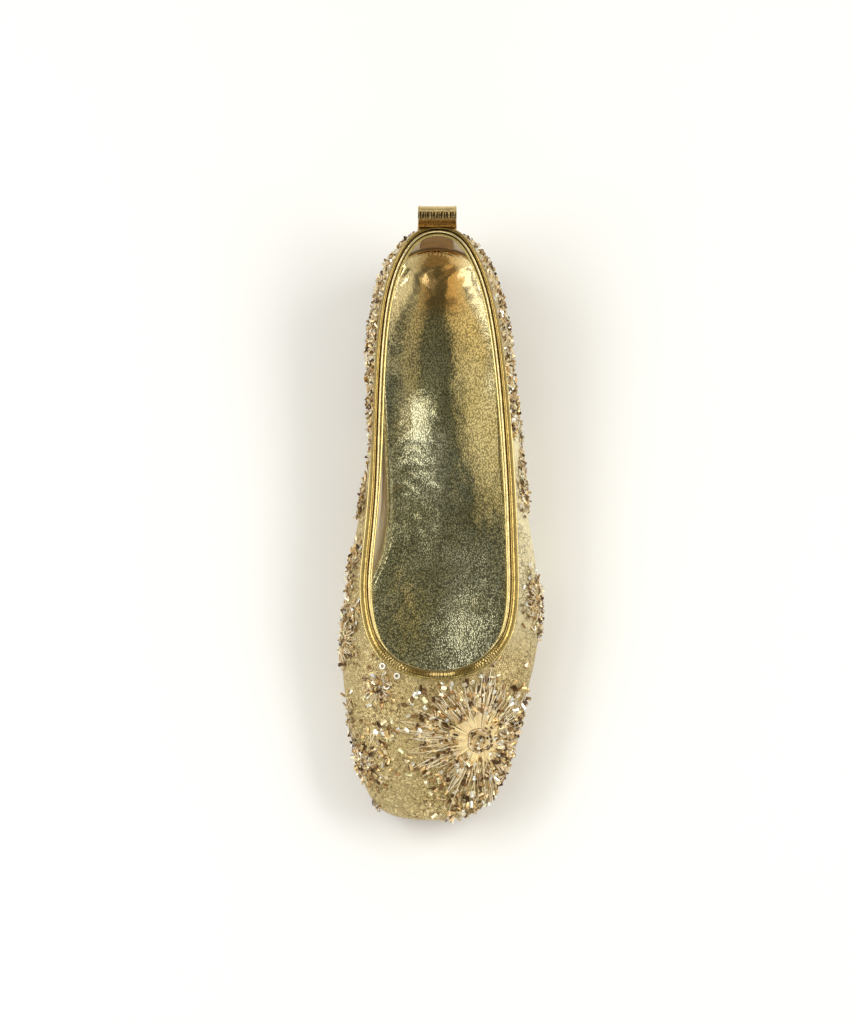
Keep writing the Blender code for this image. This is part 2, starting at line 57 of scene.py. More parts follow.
EDGE_STEP = 1e-3  # for the direction of the wall's cut edge

# Driving sizes of the last
LENGTH = 0.2445
BALL_WIDTH = 0.081
BACK_HEIGHT = 0.0519
INSTEP_HEIGHT = 0.0345
HEEL_HEIGHT = 0.0105
TOE_SPRING = 0.0055

# Thicknesses and clearances
GAP = 0.0003
WALL = 0.0018
SOLE_THICKNESS = 0.0032
INSOLE_THICKNESS = 0.0026
BINDING_LEATHER = 0.0007
STRAP_LEATHER = 0.0011
TAPE_THICKNESS = 0.0007

# Lengthwise places, as shares of LENGTH from the heel
SEAT_END = 0.22
HEEL_BREAST = 0.245
TREAD_BACK = 0.57
TREAD_FRONT = 0.75

# Cross-sections of the last, from heel to toe. The lengthwise columns are shares of LENGTH, the sideways
# ones shares of BALL_WIDTH, and top_rise is the topline's share of the way from instep to back height.
Section = namedtuple("Section", "along lateral medial top_along top_lateral top_medial top_rise")
SECTIONS = (
    Section(0.010, 0.000, 0.000, 0.0184, 0.004, -0.004, 1.000),
    Section(0.035, 0.212, 0.206, 0.0370, 0.136, 0.131, 0.946),
    Section(0.098, 0.301, 0.290, 0.0960, 0.233, 0.229, 0.764),
    Section(0.188, 0.338, 0.319, 0.188, 0.299, 0.282, 0.489),
    Section(0.278, 0.356, 0.316, 0.278, 0.331, 0.300, 0.271),
    Section(0.376, 0.370, 0.300, 0.376, 0.353, 0.310, 0.121),
    Section(0.466, 0.399, 0.312, 0.466, 0.367, 0.322, 0.040),
    Section(0.556, 0.450, 0.368, 0.552, 0.374, 0.344, -0.012),
    Section(0.646, 0.485, 0.428, 0.625, 0.376, 0.357, -0.041),
    Section(0.736, 0.457, 0.448, 0.683, 0.353, 0.332, -0.052),
    Section(0.834, 0.379, 0.417, 0.723, 0.289, 0.277, -0.041),
    Section(0.926, 0.299, 0.360, 0.7505, 0.185, 0.175, -0.017),
    Section(0.977, 0.202, 0.275, 0.7610, 0.094, 0.077, -0.003),
    Section(0.995, -0.028, 0.028, 0.7637, 0.012, -0.012, 0.000),
)

# How the wall bulges at the same sections, in metres: how far a rib swings out and up as it leaves the
# feather line, and how far it stands out and drops as it comes down from the topline.
Bulge = namedtuple("Bulge", "low_lateral low_medial low_rise high_lateral high_medial high_drop")
BULGES = (
    Bulge(0.0040, 0.0040, 0.0130, 0.0050, 0.0050, 0.0140),
    Bulge(0.0038, 0.0038, 0.0130, 0.0050, 0.0050, 0.0135),
    Bulge(0.0038, 0.0038, 0.0130, 0.0050, 0.0045, 0.0125),
    Bulge(0.0049, 0.0048, 0.0120, 0.0055, 0.0048, 0.0110),
    Bulge(0.0060, 0.0045, 0.0110, 0.0065, 0.0037, 0.0100),
    Bulge(0.0070, 0.0041, 0.0105, 0.0075, 0.0040, 0.0090),
    Bulge(0.0075, 0.0075, 0.0110, 0.0080, 0.0070, 0.0085),
    Bulge(0.0077, 0.0088, 0.0120, 0.0090, 0.0080, 0.0080),
    Bulge(0.0070, 0.0062, 0.0130, 0.0095, 0.0090, 0.0080),
    Bulge(0.0070, 0.0066, 0.0140, 0.0105, 0.0105, 0.0080),
    Bulge(0.0070, 0.0070, 0.0150, 0.0140, 0.0140, 0.0080),
    Bulge(0.0078, 0.0078, 0.0165, 0.0200, 0.0200, 0.0075),
    Bulge(0.0080, 0.0080, 0.0180, 0.0250, 0.0250, 0.0070),
    Bulge(0.0080, 0.0080, 0.0185, 0.0280, 0.0280, 0.0070),
)
FEATHER_WEIGHT = 0.8

# Upper
CAD_RIBS = 84
CAD_BANDS = 8
UPPER_COLUMNS = 420
UPPER_BANDS = 56
FEATHER_RADIUS = 0.0024
FEATHER_TURNS = (0, 15, 30, 45, 60, 75)
LASTING_MARGIN = 0.0065

# Outsole edge: how far each ring lies inside the feather line, and its share of the way from top to bottom
SoleRing = namedtuple("SoleRing", "inset depth")
SOLE_RINGS = (
    SoleRing(0.0016, 0.0),
    SoleRing(0.0010, 0.06),
    SoleRing(0.0008, 0.16),
    SoleRing(0.0008, 0.50),
    SoleRing(0.0010, 0.84),
    SoleRing(0.0013, 0.95),
    SoleRing(0.0020, 1.0),
)
SOLE_STATIONS = 150
SOLE_ACROSS = 14
BREAST_SLOPE = 0.0012
BREAST_CLEAR = 0.002  # part of the ring kept free of other stations there
SOLE_SHARP = 42  # degrees
FINE_PLACES = 2000  # to find the heel's breast on the ring

# Insole
INSOLE_INSET = 0.0026
INSOLE_BEVEL = 0.0008
INSOLE_ROUND = 0.3 * INSOLE_BEVEL
INSOLE_SHARP = 60  # degrees
INSOLE_STATIONS = 190
INSOLE_ACROSS = 44
HEEL_CUP = 0.0045
WAIST_CUP = 0.0025
FOREFOOT_CUP = 0.0008
CUP_REACH = 0.027  # how far in from its edge the insole still curves up
WAIST_INSET = 0.0028  # how much narrower the insole is on the medial side of the waist
WAIST_SPAN = (0.37, 0.53, 0.53, 0.61)  # shares of LENGTH: start, full, fading and end
HEEL_SPREAD = 0.0016  # how far the turned-up edge leans out to the wall at the heel
HEEL_SPREAD_END = 0.10  # share of LENGTH where that has faded

# Creases of the insole at the heel, then a long fold, a dome and a trough towards the toes: middle
# (x, y), heading in degrees from +X, half length, half width and height
Crease = namedtuple("Crease", "x y heading length width height")
INSOLE_CREASES = (
    Crease(0.0040, -0.0118, 12, 0.0050, 0.0008, 0.00022),
    Crease(0.0075, -0.0132, 28, 0.0060, 0.0009, -0.00026),
    Crease(0.0020, -0.0140, 6, 0.0050, 0.0008, 0.00020),
    Crease(-0.0140, -0.0130, 58, 0.0035, 0.0009, -0.00028),
    Crease(-0.0130, -0.0150, 48, 0.0040, 0.0009, 0.00020),
    Crease(0.0105, -0.0152, 40, 0.0045, 0.0009, 0.00018),
    Crease(0.0020, -0.1150, 86, 0.0350, 0.0060, -0.00010),
    Crease(-0.0020, -0.1600, 90, 0.0250, 0.0220, 0.00082),
    Crease(-0.0270, -0.1310, 90, 0.0290, 0.0190, -0.00074),
)

# Binding: how far it reaches down the wall and rises over its edge, and the corners of its section as (out
# of the wall, off its edge) in millimetres: the outer lip, the roll, a narrow ridge, the inner lip and the
# inside
BINDING_FLANGE = 0.0022
BINDING_ROLL = 0.0018
BINDING_LIP = [(1.35, -3.00), (1.75, -3.00), (1.98, -2.80), (1.98, -2.55), (1.82, -2.40)]
BINDING_INSIDE = [(-1.98, -0.90), (-1.95, -2.00), (-1.60, -2.45)]
BINDING_SIDE = MM * np.array(
    BINDING_LIP
    + [(1.98, -2.28), (2.25, -1.80), (2.38, -1.10), (2.34, -0.45), (2.20, 0.15), (1.95, 0.52)]
    + [(1.65, 0.68), (1.35, 0.68), (1.12, 0.56), (0.98, 0.40), (0.72, 0.40)]
    + [(0.62, 0.80), (0.50, 1.15), (0.25, 1.30), (-0.22, 1.12), (-0.44, 0.80)]
    + [(-0.52, 0.40), (-0.75, 0.38), (-0.95, 0.66), (-1.30, 0.74), (-1.75, 0.67), (-1.96, 0.25)]
    + BINDING_INSIDE
)
BINDING_THROAT = MM * np.array(
    BINDING_LIP
    + [(1.98, -2.28), (2.25, -1.80), (2.38, -1.10), (2.30, -0.35), (2.02, 0.25), (1.58, 0.65)]
    + [(1.08, 0.85), (0.62, 0.85), (0.10, 0.75), (-0.30, 0.50), (-0.52, 0.40)]
    + [(-0.60, 0.55), (-0.68, 0.68), (-0.80, 0.74), (-0.92, 0.66), (-0.98, 0.55)]
    + [(-1.02, 0.40), (-1.10, 0.38), (-1.20, 0.70), (-1.48, 0.86), (-1.78, 0.66), (-1.96, 0.10)]
    + BINDING_INSIDE
)
BINDING_GATHERED = slice(5, 14)  # corners of the roll
BINDING_RIDGE = slice(17, 20)
BINDING_LIPS = (slice(1, 4), slice(23, 27))
BINDING_GROOVES = (slice(14, 16), slice(21, 23))
BINDING_COLUMNS = 480
THROAT = (0.385, 0.615)  # part of the topline where the binding is gathered round the curve
THROAT_FADE = 0.025  # part of the topline over which that starts and ends
THROAT_COLUMNS = 900

# Gathers at the throat: distance apart, height, painted shade between them and painted highlight on top,
# and the waves that shift and swell them, each one as height, radians a metre and phase
RUCHE_PITCH = 0.0011
RUCHE_DEPTH = 0.00014
RUCHE_SHADE = 0.20
RUCHE_SHINE = 0.5
RUCHE_DRIFT = ((1.6, 410, 0.0), (1.12, 1130, 1.0))
RUCHE_SWELL = ((0.5, 330, 2.0),)

# Pull loop: width of the strap, rise over the binding, depth of the fold, height of the neck, tuck of the
# front end, and the shares of the wall between which the back end is sewn down
LOOP_WIDTH = 0.0158
LOOP_RISE = 0.0105
LOOP_DEPTH = 0.0046
LOOP_NECK = 0.0025
LOOP_TUCK = 0.0010
LOOP_TAIL = (0.55, 0.86)
LOOP_TAIL_STEPS = 4
LOOP_HUGS = (0.88, 0.792, 0.528, 0.088)  # how far it follows the heel, from the sewn end to the neck
LOOP_LEAN = 0.6  # share of the way back from the binding to the neck, half way up
LOOP_STEPS = 16
LOOP_ROUNDS = 3
LOOP_ACROSS = 96
LOOP_REACH = 0.06  # part of the ring on both sides of the seam
LOOP_WANDER = ((900, 8), (2300, -11))  # rates across and along
LOOP_RIB_PITCH = 0.0011
LOOP_RIB_RISE = 0.00006
LOOP_FOLD_RISE = 0.00028  # more of the same over the fold
LOOP_FOLD = (-1.10, -0.90, -0.15, 0.10)  # where the ribbed fold with its painted shade starts and ends, in half depths from its crest
LOOP_FOLD_FADE = 0.0008
LOOP_FOLD_SHADE = 0.74  # painted shade over the fold, on the whole
LOOP_RIB_SHADE = 0.24  # how much less painted shade on the ribs and more between them
LOOP_LEG_FADE = 0.0012
LOOP_EDGE = 0.0011  # width of the turned edge
LOOP_EDGE_RISE = 0.00022
LOOP_EDGE_SLOPE = 0.00044
LOOP_EDGE_ROUND = 0.0004
LOOP_EDGE_DROP = 0.0003

# Heel tape
TAPE_WIDTH = 0.0130
TAPE_CLEARANCE = 0.0007
TAPE_ACROSS = 30
TAPE_DOWN = 30
TAPE_RIB_PITCH = 0.000604
TAPE_RUMPLE = 0.00012
TAPE_WAVES = ((900, 14), (300, 31))  # rates across and up
TAPE_REACH = 0.03
TAPE_SHARES = 200  # to find its ends on the wall
SEAM_PLACES = 61

# Colours: red, green and blue from 0 to 255
CLOTH_GOLD = (183, 154, 84)
CLOTH_DEEP = (140, 112, 57)
CLOTH_PALE = (240, 221, 162)
CLOTH_ROSE = (236, 216, 184)
# Cream of the outer side: partly the cloth's tone, partly a painted sheen
CLOTH_CREAM_AND_SHEEN = (255, 246, 208)
CLOTH_LINE = (104, 78, 40)
LINING_BEIGE = (253, 243, 218)
LINING_ROSE = (248, 229, 200)
FOIL_PALE = (240, 235, 200)
FOIL_DEEP = (218, 209, 162)
FOIL_WARM = (240, 220, 166)
# The brown is a painted reflection at the middle of the heel
FOIL_REFLECTED_BROWN = (206, 158, 90)
# Painted shade in the valleys of the insole's grain
FOIL_VALLEY_SHADE = (104, 98, 66)
BINDING_COLOURS = (
    (162, 138, 80),  # leather
    (230, 212, 160),  # ridge, painted highlight
    (222, 203, 136),  # lips, painted highlight
    (64, 46, 20),  # grooves, painted shade
)
STRAP_COLOURS = ((226, 198, 138), (74, 55, 24), (176, 132, 66))  # strap, fold in painted shade, front leg in painted shade
TAPE_BROWN = (174, 134, 74)
TAPE_DARK = (148, 112, 60)
SOLE_TAN = (176, 140, 94)
SOLE_DARK = (142, 108, 68)
SOLE_EDGE = (96, 70, 42)
CHIP_DARK = (96, 68, 36)
CHIP_BROWN = (150, 114, 66)
CHIP_TINTS = (CHIP_DARK, CHIP_BROWN, (216, 182, 122), (228, 200, 158), (248, 228, 180), (255, 249, 228))
CHIP_SHARES = (0.16, 0.16, 0.27, 0.07, 0.20, 0.14)
RING_WHITE = (250, 246, 234)
THREAD_CREAM = (255, 243, 212)
THREAD_GOLD = (214, 184, 128)
THREAD_TINTS = (THREAD_CREAM, (244, 224, 178), THREAD_GOLD)
SATIN_TINT = (252, 226, 168)
FLOOR_WHITE = (252, 252, 251)

# Where a finish changes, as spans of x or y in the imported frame
LATERAL_X = (0.010, 0.028)
# Where the outer side turns cream, partly as a painted sheen
CLOTH_CREAM_AND_SHEEN_Y = (-0.062, -0.030)
CLOTH_CRACKED_Y = (-0.084, -0.052)
CLOTH_ROSE_Y = (0.0, 0.06)
FOIL_WARM_Y = (0.055, 0.092)
# Spans of the painted brown reflection at the middle of the heel, along y and across x
FOIL_REFLECTED_BROWN_Y = (0.084, 0.096)
FOIL_REFLECTED_BROWN_X = (0.004, 0.013)
FOIL_SMOOTH_Y = (0.084, 0.102)
FOIL_COARSE_Y = (-0.030, 0.015)

# Sizes of the waves, weave, cracks and grain of the materials, in metres, and turns in degrees
CLOTH_WAVES = 1 / 90
NET_WANDER = 0.0006
NET_PITCH = 0.0010
NET_TURNS = (35, -32)
CRACKLE_SIZE = 0.0040
FINE_CRACK_SIZE = 0.0019
# Size of the cloth's speck cells: the dark ones are its own tone, the pale ones painted glints
SPECK_AND_GLINT_SIZE = 0.00065
LINING_PITCH = 0.0005
INSOLE_GRAIN = 0.00052
BINDING_GRAIN = 0.0008
SOLE_GRAIN = 0.0009
PATCH_EDGES = (0.3, 0.7)  # span of noise that fades from one value to another
GLOSS_EDGES = (0.3, 0.75)

# Embroidered bursts: the CAD flower that one stands for, centre round and up the wall, radius of the bare
# ring, reach of the rays and number of rays
Burst = namedtuple("Burst", "node around up bare reach rays")
VAMP_BURST = Burst("flower_vamp", 0.461, 0.62, 0.0080, 0.0385, 60)
SIDE_BURSTS = (
    Burst("flower_medial_vamp", 0.572, 0.78, 0.0012, 0.0085, 18),
    Burst("flower_medial_toe", 0.557, 0.30, 0.0014, 0.0090, 18),
    Burst("flower_medial_ball", 0.650, 0.46, 0.0022, 0.0140, 26),
    Burst("flower_medial_waist", 0.765, 0.46, 0.0020, 0.0110, 22),
    Burst("flower_medial_heel", 0.890, 0.50, 0.0022, 0.0150, 30),
    Burst("flower_lateral_heel", 0.100, 0.50, 0.0022, 0.0150, 30),
    Burst("flower_lateral_waist", 0.225, 0.46, 0.0020, 0.0110, 22),
    Burst("flower_lateral_ball", 0.320, 0.44, 0.0022, 0.0130, 24),
)

# Chips sewn between the bursts: span round the wall, span up it and how many
Drift = namedtuple("Drift", "around up count")
VAMP_DRIFTS = (
    Drift((0.492, 0.560), (0.35, 0.85), 70),
    Drift((0.395, 0.440), (0.12, 0.60), 120),
    Drift((0.440, 0.500), (0.08, 0.36), 90),
)
SIDE_DRIFTS = (
    Drift((0.024, 0.190), (0.16, 0.97), 640),
    Drift((0.810, 0.976), (0.16, 0.97), 640),
    Drift((0.190, 0.250), (0.20, 0.80), 80),
    Drift((0.740, 0.810), (0.20, 0.80), 70),
    Drift((0.295, 0.345), (0.20, 0.75), 90),
    Drift((0.645, 0.725), (0.20, 0.90), 150),
    Drift((0.535, 0.610), (0.10, 0.45), 110),
)

# Ring sequins and thread eyelets: places round and up the wall
RING_SEQUINS = ((0.580, 0.915), (0.559, 0.925), (0.564, 0.834))
EYELETS = (
    *((0.599, 0.900), (0.593, 0.814), (0.580, 0.759), (0.572, 0.518), (0.571, 0.407), (0.596, 0.417)),
    *((0.544, 0.317), (0.554, 0.332), (0.643, 0.603), (0.668, 0.678), (0.330, 0.620), (0.212, 0.600)),
)

# Ground of the embroidery: lowest share of the wall, what stays free below the topline, grid and walking step
EMBROIDERY_FLOOR = 0.06
EMBROIDERY_MARGIN = 0.0034
GROUND_COLUMNS = 300
GROUND_ROWS = 50
WALK_STEP = 0.0008
SHORT_STEP = 0.6 * WALK_STEP  # a step that falls short of this has met the edge

# Threads. Pairs are spans that chance picks from: where one starts and how far it goes, as shares of what
# is left of the ray, its bow upwards, and its sway or a petal's width in spreads of the ray.
THREAD_RADIUS = 0.00016
THREAD_LIFT = 0.0002
THREAD_CORNERS = 5
THREAD_STEPS = 9
THREAD_START = (0.0, 0.25)
THREAD_REACH = (0.45, 1.0)
THREAD_BOW = (0.0004, 0.0013)
THREAD_SWAY = (-0.8, 0.8)
PETAL_SHARE = 0.55
PETAL_WIDTH = (0.5, 1.2)

# Chips. A flake's spans are of length, width, tilt and fold, a curl's of length, width, tilt and bend.
CHIP_THICKNESS = 0.00014
CHIP_LIFT = 0.00025
CHIP_FOLD = 0.3
CHIP_TILT = 0.3
CHIP_TAPER = (0.5, 1.0)
CHIP_SHADE = (0.85, 1.12)
FLAKE = ((0.0012, 0.0025), (0.0009, 0.0016), (0.0, 0.75), (0.10, 0.45))
CURL = ((0.0012, 0.0024), (0.0009, 0.0015), (0.3, 1.0), (-1.8, 0.6))
CURL_FOLD = 0.12
CURL_PARTS = 3

# Rays of a burst: chance in heading and reach, sideways spread, threads and chips in each
RAY_CHANCE = (-0.35, 0.35)
RAY_SPREAD = 0.6
RAY_REACH = (0.68, 1.0)
RAY_BARE = (0.65, 1.3)
RAY_SHORTEST = 0.0015
RAY_THREADS = (1, 5)  # from the first number up to below the second
RAY_CHIP_PLACE = (1.0, 1.2)  # numbers of a beta draw along the ray
RAY_CHIP_TURN = 0.7  # usual turn off the ray, in radians

# Satin stitches under the heart of the large burst
SATIN_STITCHES = 96
SATIN_RADIUS = 0.00034
SATIN_REACH = (1.1, 1.9)
SATIN_START = (0.1, 0.3)
SATIN_SHADE = (0.9, 1.08)

# Rosettes: cords with their ends and thickness as shares of the size, then the chips among them, as length
# and width, and the dark chips along one side. Turns are in radians.
Cord = namedtuple("Cord", "start end rounds thick tint")
ROSETTE_CORDS = (
    Cord(0.20, 0.72, 2.2, 0.07, THREAD_GOLD),
    Cord(0.86, 0.94, 1.3, 0.04, THREAD_CREAM),
    Cord(1.04, 0.98, 1.2, 0.04, CHIP_BROWN),
)
CORD_STEPS = 28
CORD_START = (0, 6)
CORD_WOBBLE = ((0.06, 3.3, 0.0), (0.04, 5.7, 0.0))
ROSETTE_LIFT = 0.0007
ROSETTE_CHIPS = 9000  # for each metre of size
ROSETTE_CHIP = (0.0011, 0.0008)
ROSETTE_FILL = (0, 0.9)  # square of their distance from the centre, in sizes
ROSETTE_TURNS = (0, 7)
ROSETTE_TILT = (0.1, 0.8)
DARK_CHIPS = 6
DARK_CHIP = (0.0014, 0.0008)
DARK_SIDE = (1.3, 3.1)
DARK_RING = (1.0, 1.2)

# Eyelets and ring sequins. A sequin's profile is in shares from the hole to the rim and heights in rims.
EYELET_SIZE = (0.0011, 0.0017)
EYELET_ROUNDS = 2
EYELET_STEPS = 29
EYELET_WOBBLE = 0.08
EYELET_LIFT = 0.0006
EYELET_CHIP = (0.0012, 0.0010)
EYELET_THREAD = 0.8 * THREAD_RADIUS
SEQUIN_INNER = 0.0006
SEQUIN_OUTER = 0.0014
SEQUIN_RIM = 0.00018
SEQUIN_LIFT = 0.0006
SEQUIN_CORNERS = 18
SEQUIN_AXIS = (0.3, 0.9, 0.2)
SEQUIN_PROFILE = ((0.0, -1.0), (1.0, -1.0), (1.035, 0.0), (0.8, 1.4), (0.2, 1.4), (0.0, 0.0))

# Clusters of strewn chips: how many, how far apart, and the short thread beside them
CLUSTER_CHIPS = (3, 9)  # from the first number up to below the second
CLUSTER_SPREAD = 0.0022
CLUSTER_THREAD = (0.003, 0.007)
CLUSTER_SWAY = 0.3 * CLUSTER_SPREAD
CLUSTER_STEPS = 3  # a walk that is no longer than this carries no thread

# Surround: its level at heights from the horizon to overhead, and the dim zone's colour and soft edges: aside
# from the shoe's middle plane, to its heel and down from overhead
SKY_TINT = (0.99, 1.0, 0.97)
SKY_LEVELS = ((0.0, 0.85), (0.55, 0.58), (0.78, 0.32), (0.92, 0.20), (1.0, 0.13))
DIM_SKY = (0.128, 0.138, 0.112, 1.0)
DIM_ASIDE = (0.28, 0.44)
DIM_BACK = (0.24, 0.52)
DIM_LOW = (0.55, 0.80)

# Panels of light that hang level overhead: spans along x and y, brightness and colour
Panel = namedtuple("Panel", "name x y level colour")
PANEL_HEIGHT = 1.2
PANELS = (
    Panel("panel_warm_left", (-0.47, -0.14), (-0.10, 0.42), 0.86, (1.0, 0.80, 0.46)),
    Panel("panel_white_left", (-0.72, -0.47), (-0.25, 0.29), 1.90, (1.0, 1.0, 1.0)),
    Panel("panel_white_right", (0.125, 0.195), (-0.01, 0.21), 2.40, (1.0, 1.0, 0.96)),
    Panel("panel_soft_right", (0.02, 0.105), (-0.07, 0.37), 0.17, (1.0, 0.96, 0.86)),
    Panel("panel_warm_right", (0.20, 0.30), (0.02, 0.42), 0.55, (1.0, 0.80, 0.46)),
    Panel("panel_pale_heel", (0.30, 0.50), (0.365, 0.44), 0.50, (1.0, 0.93, 0.76)),
    Panel("panel_pale_right", (0.50, 0.76), (-0.02, 0.42), 0.66, (1.0, 0.93, 0.76)),
    Panel("panel_brown_front", (-0.24, 0.24), (-0.70, -0.11), 0.22, (1.0, 0.70, 0.36)),
    Panel("panel_white_front", (-0.90, -0.26), (-0.75, -0.14), 0.90, (1.0, 0.96, 0.86)),
    Panel("panel_pale_front", (0.27, 0.90), (-0.95, -0.03), 0.45, (1.0, 0.91, 0.72)),
)

# Softboxes that face the shoe: place, width, height, power in watts and colour
Softbox = namedtuple("Softbox", "name place width height power colour")
SOFTBOX_AIM = (0.0, 0.0, 0.03)
SOFTBOXES = (
    Softbox("left_softbox", (-0.88, 0.15, 0.86), 1.0, 0.45, 6.1, (1.0, 1.0, 1.0)),
    Softbox("right_softbox", (0.88, 0.15, 0.86), 1.0, 0.45, 7.0, (1.0, 0.97, 0.92)),
    Softbox("front_softbox", (0.0, -1.20, 0.40), 0.9, 0.4, 2.5, (1.0, 1.0, 1.0)),
)

FLOOR_REACH = 4.0
FLOOR_LEVEL = -0.0002

# Camera: the photograph's frame in pixels and the size of one pixel at the shoe
FRAME_HEIGHT = 1024
PIXEL = 0.000414
CAMERA_DISTANCE = 1.5
CAMERA_ELEVATION = 78
CAMERA_AIM = (-0.0059, 0.0042, 0.020)
SENSOR = 36.0

UP = np.array([0.0, 0.0, 1.0])


def closed_spline(knots, period, values):
    """Cubic curve through the values at the knots, smooth all the way round. Returns a function of t."""
    count = len(knots)
    gaps = np.diff(np.append(knots, knots[0] + period))
    system = np.zeros((count, count))
    right = np.zeros(values.shape)
    for i in range(count):
        after = (i + 1) % count
        system[i, i - 1] += gaps[i - 1]
        system[i, i] += 2 * (gaps[i - 1] + gaps[i])
        system[i, after] += gaps[i]
        rise_after = (values[after] - values[i]) / gaps[i]
        rise_before = (values[i] - values[i - 1]) / gaps[i - 1]
        right[i] = 6 * (rise_after - rise_before)
    bend = np.linalg.solve(system, right)

    def at(t):
        t = np.mod(np.asarray(t, float) - knots[0], period) + knots[0]
        i = np.clip(np.searchsorted(knots, t, side="right") - 1, 0, count - 1)
        after = (i + 1) % count
        gap = gaps[i][:, None]
        b = (t - knots[i])[:, None] / gap
        a = 1 - b
        curve = (a**3 - a) * bend[i] + (b**3 - b) * bend[after]
        return a * values[i] + b * values[after] + curve * gap**2 / 6

    return at


def unit(vectors):
    return vectors / np.maximum(np.linalg.norm(vectors, axis=-1, keepdims=True), TINY)


def last_rows():
    """The sections as one ring of rows: heel, lateral side, toe, medial side. A row holds the feather
    point (x, y), the topline point (x, y, z) and the four bulge measures."""

    def row(section, bulge, lateral):
        foot = section.lateral if lateral else -section.medial
        top = section.top_lateral if lateral else -section.top_medial
        low = bulge.low_lateral if lateral else bulge.low_medial
        high = bulge.high_lateral if lateral else bulge.high_medial
        return (
            foot * BALL_WIDTH,
            -section.along * LENGTH,
            top * BALL_WIDTH,
            -section.top_along * LENGTH,
            INSTEP_HEIGHT + section.top_rise * (BACK_HEIGHT - INSTEP_HEIGHT),
            low,
            bulge.low_rise,
            high,
            bulge.high_drop,
        )

    pairs = list(zip(SECTIONS, BULGES))
    lateral_rows = [row(section, bulge, True) for section, bulge in pairs]
    medial_rows = [row(section, bulge, False) for section, bulge in pairs[-2:0:-1]]
    return np.array(lateral_rows + medial_rows)


def ring_knots(rows):
    """Places of the rows round the ring, the same on both sides: by chords, mostly of the feather line."""
    half = len(SECTIONS)
    chords = np.zeros(half - 1)
    for i in range(half - 1):
        mirrored = (len(rows) - i) % len(rows), (len(rows) - i - 1) % len(rows)
        for near, far in ((i, i + 1), mirrored):
            for columns, weight in ((slice(0, 2), FEATHER_WEIGHT), (slice(2, 4), 1 - FEATHER_WEIGHT)):
                chords[i] += weight * np.linalg.norm(rows[far, columns] - rows[near, columns])
    out = np.concatenate([[0], np.cumsum(chords)])
    back = 2 * out[-1] - out[-2:0:-1]
    return np.concatenate([out, back]) / (2 * out[-1])


ROWS = last_rows()
LAST = closed_spline(ring_knots(ROWS), 1.0, ROWS)
Ring = namedtuple("Ring", "foot top foot_out top_out low_out low_rise high_out high_drop")


def ring_at(t):
    """The last at the places t round the shoe, from 0 at the heel by the lateral side to 0.5 at the toe."""
    t = np.asarray(t, float)
    row = LAST(t)
    along = (LAST(t + SLOPE_STEP) - LAST(t - SLOPE_STEP)) / (2 * SLOPE_STEP)

    def outward(tangent):
        return unit(np.stack([-tangent[:, 1], tangent[:, 0], np.zeros(len(tangent))], 1))

    foot = np.column_stack([row[:, :2], np.zeros(len(t))])
    columns = [row[:, i : i + 1] for i in range(5, 9)]
    return Ring(foot, row[:, 2:5], outward(along[:, :2]), outward(along[:, 2:4]), *columns)


def smoothstep(x):
    x = np.clip(x, 0.0, 1.0)
    return x * x * (3 - 2 * x)


def plateau(x, start, full, fading, end):
    """0 up to the start, 1 from full to fading, 0 again from the end on."""
    return smoothstep((x - start) / (full - start)) * smoothstep((end - x) / (end - fading))


def waves(along, parts):
    """Sum of waves, each one given as height, rate and phase."""
    return sum(height * np.sin(along * rate + phase) for height, rate, phase in parts)


def slanting_waves(across, along, rates):
    """Sum of waves whose crests run aslant, from pairs of a rate across and a rate along."""
    return sum(np.sin(across * rate + along * slant) for rate, slant in rates)


def swung(first, second, turn):
    """Direction at an angle from the first one to the second."""
    return first * math.cos(turn) + second * math.sin(turn)


def feather_height(y):
    """Underside of the upper above the floor: level heel seat, arch, level tread and toe spring."""
    along = -np.asarray(y) / LENGTH
    tread = SOLE_THICKNESS + GAP
    arch = smoothstep((TREAD_BACK - along) / (TREAD_BACK - SEAT_END))
    toe = np.clip((along - TREAD_FRONT) / (1 - TREAD_FRONT), 0, 1) ** 2
    return tread + (HEEL_HEIGHT - tread) * arch + TOE_SPRING * toe


def on_feather_plane(points):
    """The points, lowered or raised to the underside of the upper."""
    points = points.copy()
    points[:, 2] = feather_height(points[:, 1])
    return points


def wall(t, v):
    """Outer surface of the upper at places t round the shoe and shares v of the way up the wall."""
    ring = ring_at(t)
    v = np.asarray(v, float).reshape(-1, 1)
    start = on_feather_plane(ring.foot) + UP * FEATHER_RADIUS
    low = start + ring.foot_out * ring.low_out + UP * ring.low_rise
    high = ring.top + ring.top_out * ring.high_out - UP * ring.high_drop
    a = 1 - v
    return a**3 * start + 3 * a**2 * v * low + 3 * a * v**2 * high + v**3 * ring.top


def wall_normal(t, v):
    """Outward unit normal of the wall."""
    t, v = np.broadcast_arrays(np.asarray(t, float), np.asarray(v, float))
    above, below = np.clip(v + SLOPE_STEP, 0, 1), np.clip(v - SLOPE_STEP, 0, 1)
    up = wall(t, above) - wall(t, below)
    around = wall(t + SLOPE_STEP, v) - wall(t - SLOPE_STEP, v)
    return unit(np.cross(up, around))


def upper_rows(t, bands):
    """Rows of points from the lasting margin, round the feather edge and up to the topline."""
    ring = ring_at(t)
    rows = [on_feather_plane(ring.foot - ring.foot_out * LASTING_MARGIN)]
    for turn in np.radians(FEATHER_TURNS):
        inset = FEATHER_RADIUS * (1 - math.sin(turn))
        point = on_feather_plane(ring.foot - ring.foot_out * inset)
        rows.append(point + UP * FEATHER_RADIUS * (1 - math.cos(turn)))
    for v in np.linspace(0, 1, bands + 1):
        rows.append(wall(t, np.full(len(t), v)))
    return np.array(rows)


